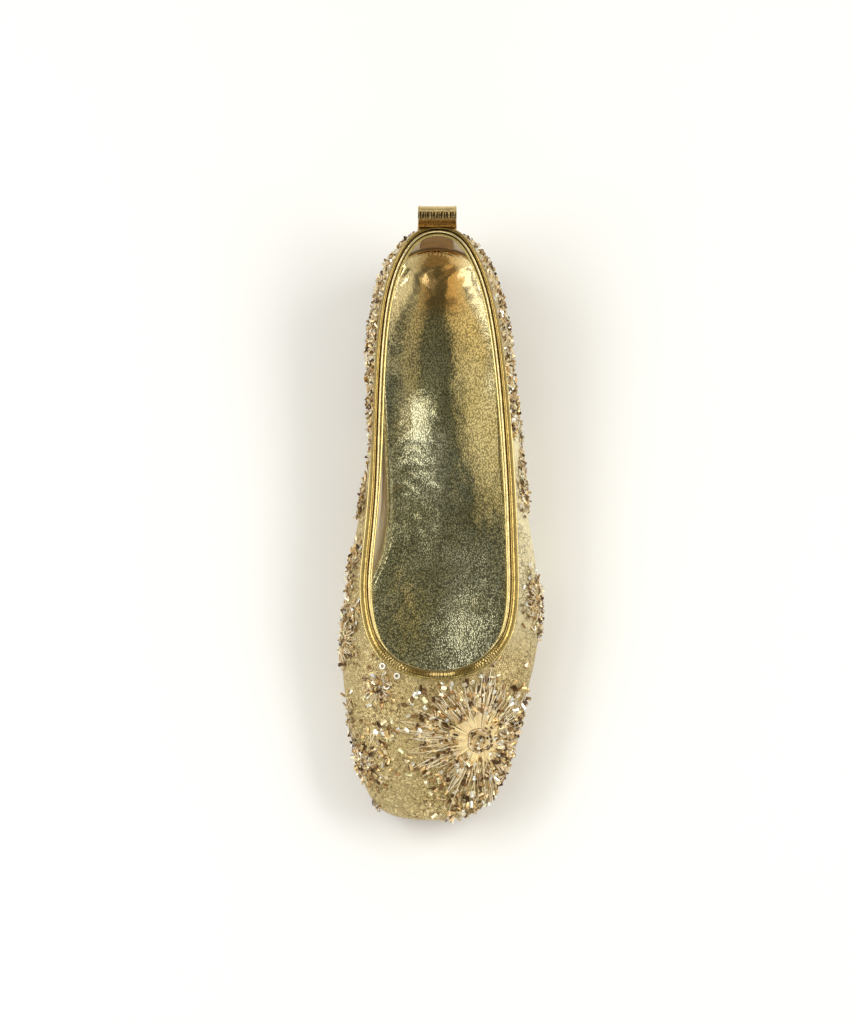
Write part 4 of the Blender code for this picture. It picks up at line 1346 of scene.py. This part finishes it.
def make_pull_loop(finish):
    """Folded strap with turned edges."""
    across = np.linspace(-LOOP_WIDTH / 2, LOOP_WIDTH / 2, LOOP_ACROSS + 1)
    path = rounded(loop_path(), LOOP_ROUNDS)
    grid = np.zeros((len(path), len(across), 3))
    grid[:, :, 0] = across
    grid[:, :, 1] = path[:, 0:1] - heel_rounding(across) * path[:, 2:3]
    grid[:, :, 2] = path[:, 1:2]
    normals = grid_normals(grid, False)
    from_edge = LOOP_WIDTH / 2 - np.abs(across)
    turned = LOOP_EDGE_RISE * smoothstep((LOOP_EDGE - from_edge) / LOOP_EDGE_SLOPE)
    turned -= LOOP_EDGE_DROP * smoothstep(1 - from_edge / LOOP_EDGE_ROUND)
    wander = slanting_waves(across, np.linspace(0, 1, len(path))[:, None], LOOP_WANDER)
    ribs = np.sin(across * 2 * math.pi / LOOP_RIB_PITCH + wander)
    fold = fold_share(path)[:, None]
    half = (STRAP_LEATHER / 2 + turned + ribs * (LOOP_RIB_RISE + LOOP_FOLD_RISE * fold))[:, :, None]
    points, faces = panel_body(grid + normals * half, grid - normals * STRAP_LEATHER / 2)
    # Painted shade: the front leg darker, and the fold darker still, most between its ribs
    gold, dark, brown = (np.array(linear(tint)) for tint in STRAP_COLOURS)
    leg = gold + (brown - gold) * front_share(path)[:, None, None]
    strip = leg + (dark - leg) * (fold * (LOOP_FOLD_SHADE - LOOP_RIB_SHADE * ribs))[:, :, None]
    tints = np.tile(strip.reshape(-1, 4), (2, 1))
    make_piece("pull_loop_strap", (finish,), points, faces, ("pull_loop",), tints=tints)


def make_heel_tape(finish):
    """Strip on the inside of the back wall, a little rumpled, from the binding to the edge of the insole."""
    shares = np.linspace(0, 1, TAPE_SHARES)
    rib = wall(np.zeros(len(shares)), shares)
    climbed = np.concatenate([[0], np.cumsum(np.linalg.norm(np.diff(rib, axis=0), axis=1))])
    insole_edge = feather_height(0.0) + WALL + GAP + INSOLE_THICKNESS + HEEL_CUP
    low = np.interp(insole_edge + TAPE_CLEARANCE, rib[:, 2], shares)
    high = np.interp(climbed[-1] - BINDING_FLANGE - TAPE_CLEARANCE, climbed, shares)
    near_seam, beside = seam_line((low + high) / 2, TAPE_REACH)
    x = np.linspace(-TAPE_WIDTH / 2, TAPE_WIDTH / 2, TAPE_ACROSS + 1)
    places = np.interp(x, beside[:, 0], near_seam)
    front, back = [], []
    for v in np.linspace(low, high, TAPE_DOWN + 1):
        level = np.full(len(places), v)
        spot, normal = wall(places, level), wall_normal(places, level)
        rumple = TAPE_RUMPLE * slanting_waves(x, v, TAPE_WAVES)
        back.append(spot - normal * (WALL + GAP))
        front.append(spot - normal * (WALL + GAP + TAPE_THICKNESS + rumple)[:, None])
    points, faces = panel_body(np.array(front), np.array(back))
    make_piece("heel_tape_strip", (finish,), points, faces, ("heel_tape",))


class Ground:
    """The part of the wall that carries embroidery, to walk over."""

    def __init__(self):
        t = np.arange(GROUND_COLUMNS) / GROUND_COLUMNS
        ring = ring_at(t)
        height = np.linalg.norm(ring.top - on_feather_plane(ring.foot), axis=1)
        depth = 1 - EMBROIDERY_MARGIN / height - EMBROIDERY_FLOOR
        rows = [wall(t, EMBROIDERY_FLOOR + depth * share) for share in np.linspace(0, 1, GROUND_ROWS)]
        faces = band_faces(GROUND_ROWS, GROUND_COLUMNS)[:-GROUND_COLUMNS]
        self.tree = BVHTree.FromPolygons(np.concatenate(rows).tolist(), faces.tolist())

    def nearest(self, point):
        spot, normal = self.tree.find_nearest(Vector(point))[:2]
        return np.array(spot), np.array(normal)

    def at(self, around, up):
        return self.nearest(wall(np.array([around]), np.array([up]))[0])

    def walk(self, start, heading, reach):
        """Points, normals and headings, step by step along a straight walk, up to the edge of the ground."""
        point, normal = self.nearest(start)
        track = [(point, normal, heading)]
        for _ in range(int(reach / WALK_STEP)):
            heading = unit(heading - normal * heading.dot(normal))
            ahead, normal = self.nearest(point + heading * WALK_STEP)
            if np.linalg.norm(ahead - point) < SHORT_STEP:
                break
            point = ahead
            track.append((point, normal, heading))
        return track


class Stitches:
    """Gathers threads, chips and rings into one mesh, with a tint on every point."""

    CHIP, THREAD = 0, 1

    def __init__(self, ground, seed, scale):
        self.ground = ground
        self.scale = scale
        self.random = np.random.default_rng(seed)
        self.points, self.faces, self.tints, self.kinds = [], [], [], []
        self.count = 0

    def add(self, points, faces, tint, kind):
        self.points.append(points)
        self.faces.append(np.asarray(faces) + self.count)
        self.tints.append(np.tile(linear(tint), (len(points), 1)))
        self.kinds.append(np.full(len(faces), kind))
        self.count += len(points)

    def chip_tint(self):
        tint = np.array(CHIP_TINTS[self.random.choice(len(CHIP_TINTS), p=CHIP_SHARES)])
        return np.clip(tint * self.random.uniform(*CHIP_SHADE), 0, 255)

    def thread_tint(self):
        return THREAD_TINTS[self.random.integers(len(THREAD_TINTS))]

    def chip(self, spot, normal, heading, length, width, tilt, bend=0.0, fold=CHIP_FOLD, tint=None):
        """Cut strip of sequin foil that leaves the cloth at an angle, folded along its middle and curled."""
        side = np.cross(normal, heading)
        parts = CURL_PARTS if bend else 1
        start = spot + normal * CHIP_LIFT
        taper = self.random.uniform(*CHIP_TAPER)
        front, back = [], []
        for share in np.linspace(0, 1, parts + 1):
            turn = tilt + bend * share
            face = swung(normal, -heading, turn)
            if share > 0:
                start = start + swung(heading, normal, turn) * length / parts
            half = side * width / 2 * (1 + (taper - 1) * share)
            row = np.array([start - half, start + face * width * fold, start + half])
            front.append(row + face * CHIP_THICKNESS)
            back.append(row)
        points, faces = panel_body(np.array(front), np.array(back))
        self.add(points, faces, self.chip_tint() if tint is None else tint, self.CHIP)

    def strand(self, path, normals, radius, tint):
        """Thread along a path of points on the cloth."""
        path, normals = np.asarray(path), np.asarray(normals)
        ahead = unit(np.gradient(path, axis=0))
        side = unit(np.cross(ahead, normals))
        up = np.cross(side, ahead)
        turns = np.arange(THREAD_CORNERS) * 2 * math.pi / THREAD_CORNERS
        grid = np.stack([path + swung(side, up, turn) * radius for turn in turns], 1)
        index = np.arange(len(path) * THREAD_CORNERS).reshape(-1, THREAD_CORNERS)
        after = np.roll(index, -1, 1)
        faces = np.stack([index[:-1], index[1:], after[1:], after[:-1]], 2).reshape(-1, 4)
        self.add(grid.reshape(-1, 3), faces, tint, self.THREAD)

    def ring(self, spot, normal):
        """Round sequin with a hole."""
        side = unit(np.cross(normal, SEQUIN_AXIS))
        ahead = np.cross(normal, side)
        turns = np.arange(SEQUIN_CORNERS) * 2 * math.pi / SEQUIN_CORNERS
        circle = np.array([swung(side, ahead, turn) for turn in turns])
        middle = spot + normal * SEQUIN_LIFT
        rows = []
        for share, rise in SEQUIN_PROFILE:
            radius = SEQUIN_INNER + (SEQUIN_OUTER - SEQUIN_INNER) * share
            rows.append(middle + circle * radius + normal * SEQUIN_RIM * rise)
        self.add(np.concatenate(rows), band_faces(len(rows), len(turns)), RING_WHITE, self.CHIP)

    def piece(self, name, finishes, nodes):
        kinds = np.concatenate(self.kinds)
        make_piece(
            name,
            finishes,
            np.concatenate(self.points),
            np.concatenate(self.faces).tolist(),
            nodes,
            face_finish=kinds,
            tints=np.concatenate(self.tints),
            smooth=kinds == self.THREAD,
        )


def plane_axes(normal):
    """Two directions square to a normal and to each other, the first one level."""
    across = unit(np.cross(normal, UP))
    return across, np.cross(normal, across)


def headings_round(normal, count, random):
    """Directions all round a centre, about evenly spread."""
    axes = plane_axes(normal)
    for i in range(count):
        yield swung(*axes, 2 * math.pi * (i + random.uniform(*RAY_CHANCE)) / count)


def track_point(track, share):
    """Point, normal and heading at a share of the way along a walk."""
    return track[min(int(share * (len(track) - 1) + 0.5), len(track) - 1)]


def raised_path(track, first, last, lift, sway):
    """Path of a thread over part of a walk, bowed up and to the side."""
    path, normals = [], []
    for share in np.linspace(0, 1, THREAD_STEPS):
        spot, normal, heading = track_point(track, first + (last - first) * share)
        hump = math.sin(math.pi * share)
        side = np.cross(normal, heading)
        path.append(spot + normal * (THREAD_LIFT + lift * hump) + side * sway * hump)
        normals.append(normal)
    return path, normals


def sew_thread(stitches, track, bare_share, spread):
    """One straight thread of a ray, or a narrow petal there and back."""
    random = stitches.random
    first = bare_share + random.uniform(*THREAD_START) * (1 - bare_share)
    last = first + random.uniform(*THREAD_REACH) * (1 - first)
    lift = random.uniform(*THREAD_BOW)
    tint = stitches.thread_tint()
    if random.random() < PETAL_SHARE:
        width = random.uniform(*PETAL_WIDTH) * spread
        path, normals = raised_path(track, first, last, lift, width)
        back, back_normals = raised_path(track, last, first, lift, -width)
        path, normals = path + back[1:], normals + back_normals[1:]
    else:
        path, normals = raised_path(track, first, last, lift, random.uniform(*THREAD_SWAY) * spread)
    stitches.strand(path, normals, THREAD_RADIUS, tint)


def sew_chip(stitches, spot, normal, heading, standing):
    """One chip: mostly a squarish flake lying on the cloth, now and then a curl that stands up."""
    random, scale = stitches.random, stitches.scale
    curls = random.random() < standing
    length, width, tilt, last = (random.uniform(*span) for span in (CURL if curls else FLAKE))
    bend, fold = (last, CURL_FOLD) if curls else (0.0, last)
    stitches.chip(spot, normal, heading, length * scale, width * scale, tilt, bend, fold)


def sew_ray(stitches, track, bare_share, spread, chips, standing):
    """One ray of a burst: threads, and chips scattered along it."""
    random = stitches.random
    for _ in range(random.integers(*RAY_THREADS)):
        sew_thread(stitches, track, bare_share, spread)
    for _ in range(random.poisson(chips)):
        share = bare_share + (1 - bare_share) * random.beta(*RAY_CHIP_PLACE)
        spot, normal, heading = track_point(track, share)
        side = np.cross(normal, heading)
        spot, normal = stitches.ground.nearest(spot + side * random.normal(0, 1) * spread)
        aim = swung(heading, side, random.normal(0, RAY_CHIP_TURN))
        sew_chip(stitches, spot, normal, aim, standing)


def sew_burst(stitches, burst, chips, standing):
    """Rays all round a bare ring."""
    random = stitches.random
    centre, normal = stitches.ground.at(burst.around, burst.up)
    spread = math.pi * burst.reach / burst.rays * RAY_SPREAD
    for heading in headings_round(normal, burst.rays, random):
        track = stitches.ground.walk(centre, heading, burst.reach * random.uniform(*RAY_REACH))
        walked = (len(track) - 1) * WALK_STEP
        bare = burst.bare * random.uniform(*RAY_BARE)
        if walked > bare + RAY_SHORTEST:
            sew_ray(stitches, track, bare / walked, spread, chips, standing)


def sew_satin(stitches, burst):
    """Ground of close satin stitches under the heart of a burst, with ragged ends."""
    random = stitches.random
    centre, normal = stitches.ground.at(burst.around, burst.up)
    for heading in headings_round(normal, SATIN_STITCHES, random):
        track = stitches.ground.walk(centre, heading, burst.bare * random.uniform(*SATIN_REACH))
        path, normals = raised_path(track, random.uniform(*SATIN_START), 1.0, SATIN_RADIUS, 0.0)
        tint = np.array(SATIN_TINT) * random.uniform(*SATIN_SHADE)
        stitches.strand(path, normals, SATIN_RADIUS, np.clip(tint, 0, 255))


def sew_rosette(stitches, burst, size):
    """Coiled cord inside two loose rings, with small chips in its turns and dark ones along one side."""
    random = stitches.random
    centre, normal = stitches.ground.at(burst.around, burst.up)
    axes = plane_axes(normal)

    def near(radius, turn):
        away = swung(*axes, turn)
        spot, facing = stitches.ground.nearest(centre + away * radius)
        return spot + facing * ROSETTE_LIFT, facing, np.cross(facing, away)

    for cord in ROSETTE_CORDS:
        turns = np.linspace(0, cord.rounds * 2 * math.pi, int(CORD_STEPS * cord.rounds))
        turns += random.uniform(*CORD_START)
        radii = size * np.linspace(cord.start, cord.end, len(turns)) * (1 + waves(turns, CORD_WOBBLE))
        path, normals, _ = zip(*map(near, radii, turns))
        stitches.strand(path, normals, size * cord.thick, cord.tint)
    for _ in range(int(size * ROSETTE_CHIPS)):
        radius = size * math.sqrt(random.uniform(*ROSETTE_FILL))
        place = near(radius, random.uniform(*ROSETTE_TURNS))
        stitches.chip(*place, *ROSETTE_CHIP, random.uniform(*ROSETTE_TILT))
    for turn in np.linspace(*DARK_SIDE, DARK_CHIPS):
        place = near(size * random.uniform(*DARK_RING), turn)
        stitches.chip(*place, *DARK_CHIP, CHIP_TILT, tint=CHIP_DARK)


def sew_eyelet(stitches, place):
    """Small ring of thread, wound twice, with a dark chip in it."""
    centre, normal = stitches.ground.at(*place)
    across, ahead = plane_axes(normal)
    size = stitches.random.uniform(*EYELET_SIZE)
    path, normals = [], []
    for turn in np.linspace(0, EYELET_ROUNDS * 2 * math.pi, EYELET_STEPS):
        radius = size * (1 + EYELET_WOBBLE * math.sin(turn / EYELET_ROUNDS))
        spot, facing = stitches.ground.nearest(centre + swung(across, ahead, turn) * radius)
        path.append(spot + facing * EYELET_LIFT)
        normals.append(facing)
    stitches.strand(path, normals, EYELET_THREAD, THREAD_GOLD)
    stitches.chip(centre, normal, across, *EYELET_CHIP, CHIP_TILT, tint=CHIP_BROWN)


def sew_drift(stitches, drift, standing):
    """Chips strewn over a patch of the wall, in loose clusters, with a short thread here and there."""
    random, ground = stitches.random, stitches.ground
    left = drift.count
    while left > 0:
        group = min(int(random.integers(*CLUSTER_CHIPS)), left)
        left -= group
        centre, normal = ground.at(random.uniform(*drift.around), random.uniform(*drift.up))
        across, ahead = plane_axes(normal)
        for _ in range(group):
            away = across * random.normal(0, CLUSTER_SPREAD) + ahead * random.normal(0, CLUSTER_SPREAD)
            spot, facing = ground.nearest(centre + away)
            across, ahead = plane_axes(facing)
            heading = swung(across, ahead, random.uniform(0, 2 * math.pi))
            sew_chip(stitches, spot, facing, heading, standing)
        heading = swung(*plane_axes(normal), random.uniform(0, 2 * math.pi))
        track = ground.walk(centre, heading, random.uniform(*CLUSTER_THREAD))
        if len(track) > CLUSTER_STEPS:
            sew_thread(stitches, track, 0.0, CLUSTER_SWAY)


def make_embroidery(chip, thread):
    ground = Ground()
    finishes = (chip, thread)
    vamp = Stitches(ground, seed=11, scale=1.2)
    sew_satin(vamp, VAMP_BURST)
    sew_rosette(vamp, VAMP_BURST, size=0.0048)
    sew_burst(vamp, VAMP_BURST, chips=10, standing=0.15)
    for drift in VAMP_DRIFTS:
        sew_drift(vamp, drift, standing=0.2)
    for place in EYELETS:
        sew_eyelet(vamp, place)
    for place in RING_SEQUINS:
        vamp.ring(*ground.at(*place))
    vamp.piece("embroidery_vamp", finishes, (VAMP_BURST.node,))
    for seed, burst in enumerate(SIDE_BURSTS, start=30):
        side = Stitches(ground, seed, scale=1.1)
        sew_rosette(side, burst, size=min(0.0024, burst.bare * 1.1))
        sew_burst(side, burst, chips=4, standing=0.2)
        side.piece(burst.node.replace("flower", "embroidery"), finishes, (burst.node,))
    strewn = Stitches(ground, seed=60, scale=1.0)
    for drift in SIDE_DRIFTS:
        sew_drift(strewn, drift, standing=0.30)
    strewn.piece("embroidery_strewn", finishes, ())


def make_floor(finish):
    mesh = bpy.data.meshes.new("floor")
    signs = ((-1, -1), (1, -1), (1, 1), (-1, 1))
    corners = [(x * FLOOR_REACH, y * FLOOR_REACH, FLOOR_LEVEL) for x, y in signs]
    mesh.from_pydata(corners, [], [(0, 1, 2, 3)])
    mesh.materials.append(finish)
    floor = bpy.data.objects.new("floor", mesh)
    bpy.context.collection.objects.link(floor)
    floor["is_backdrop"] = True


def make_world():
    """Soft white surround with a dim zone overhead, long like the shoe, that the shiny leather reflects."""
    world = bpy.data.worlds.new("studio")
    world.use_nodes = True
    sky = Nodes(world.node_tree)
    toward = sky.node("ShaderNodeTexCoord", {}).outputs["Generated"]
    x, y, z = (sky.part_of(toward, axis) for axis in range(3))
    ramp = sky.node("ShaderNodeValToRGB", {0: z})
    for i, (at, level) in enumerate(SKY_LEVELS):
        stop = ramp.color_ramp.elements[i] if i < 2 else ramp.color_ramp.elements.new(at)
        stop.position = at
        stop.color = (*(level * tint for tint in SKY_TINT), 1)
    clear = sky.span(sky.math("ABSOLUTE", x), *DIM_ASIDE)
    clear = sky.math("MAXIMUM", clear, sky.span(y, *DIM_BACK))
    clear = sky.math("MAXIMUM", clear, sky.span(sky.math("SUBTRACT", 1.0, z), *DIM_LOW))
    sky.feed(sky.tree.nodes["Background"].inputs["Color"], sky.mix(clear, DIM_SKY, ramp.outputs[0]))
    bpy.context.scene.world = world


def add_light(name, place, width, height, power, colour):
    """Area light that faces straight down."""
    light = bpy.data.lights.new(name, "AREA")
    light.shape = "RECTANGLE"
    light.size, light.size_y = width, height
    light.energy = power
    light.color = colour
    lamp = bpy.data.objects.new(name, light)
    lamp.location = place
    lamp.visible_camera = False
    bpy.context.collection.objects.link(lamp)
    return lamp


def add_softbox(softbox):
    lamp = add_light(*softbox)
    aim = Vector(SOFTBOX_AIM) - Vector(softbox.place)
    lamp.rotation_euler = aim.to_track_quat("-Z", "Y").to_euler()


def add_panel(panel):
    width, depth = panel.x[1] - panel.x[0], panel.y[1] - panel.y[0]
    place = (sum(panel.x) / 2, sum(panel.y) / 2, PANEL_HEIGHT)
    add_light(panel.name, place, width, depth, panel.level * math.pi * width * depth, panel.colour)


def make_camera():
    data = bpy.data.cameras.new("camera")
    data.sensor_width = SENSOR
    data.lens = SENSOR * CAMERA_DISTANCE / (FRAME_HEIGHT * PIXEL)
    camera = bpy.data.objects.new("camera", data)
    tilt = math.radians(CAMERA_ELEVATION)
    back = Vector((0, -math.cos(tilt), math.sin(tilt)))
    camera.location = Vector(CAMERA_AIM) + back * CAMERA_DISTANCE
    camera.rotation_euler = (-back).to_track_quat("-Z", "Y").to_euler()
    bpy.context.collection.objects.link(camera)
    bpy.context.scene.camera = camera


def write_sizes(cad_box):
    """Both boxes, of the solids and of the dressed shoe, as plain numbers, which are not written anywhere."""
    boxes = {"cad": cad_box, "visual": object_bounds()}
    plain = {name: [list(corner) for corner in box] for name, box in boxes.items()}


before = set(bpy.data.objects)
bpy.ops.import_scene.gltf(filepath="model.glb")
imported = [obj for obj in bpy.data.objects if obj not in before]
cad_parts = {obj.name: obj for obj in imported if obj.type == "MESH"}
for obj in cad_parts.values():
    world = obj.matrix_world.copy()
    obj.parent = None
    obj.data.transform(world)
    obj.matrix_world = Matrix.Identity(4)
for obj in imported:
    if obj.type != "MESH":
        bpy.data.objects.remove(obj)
CAD_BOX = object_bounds()
SHIFT = packed_shift()
bpy.context.scene.view_settings.view_transform = "Standard"

make_upper(cloth_finish(), lining_finish())
make_outsole(sole_finish())
make_insole(insole_finish())
BINDING_FINISH = binding_finish()
make_binding(BINDING_FINISH)
make_pull_loop(BINDING_FINISH)
make_heel_tape(tape_finish())
make_embroidery(chip_finish(), thread_finish())

make_floor(floor_finish())
make_world()
for SOFTBOX in SOFTBOXES:
    add_softbox(SOFTBOX)
for PANEL in PANELS:
    add_panel(PANEL)
make_camera()

write_sizes(CAD_BOX)
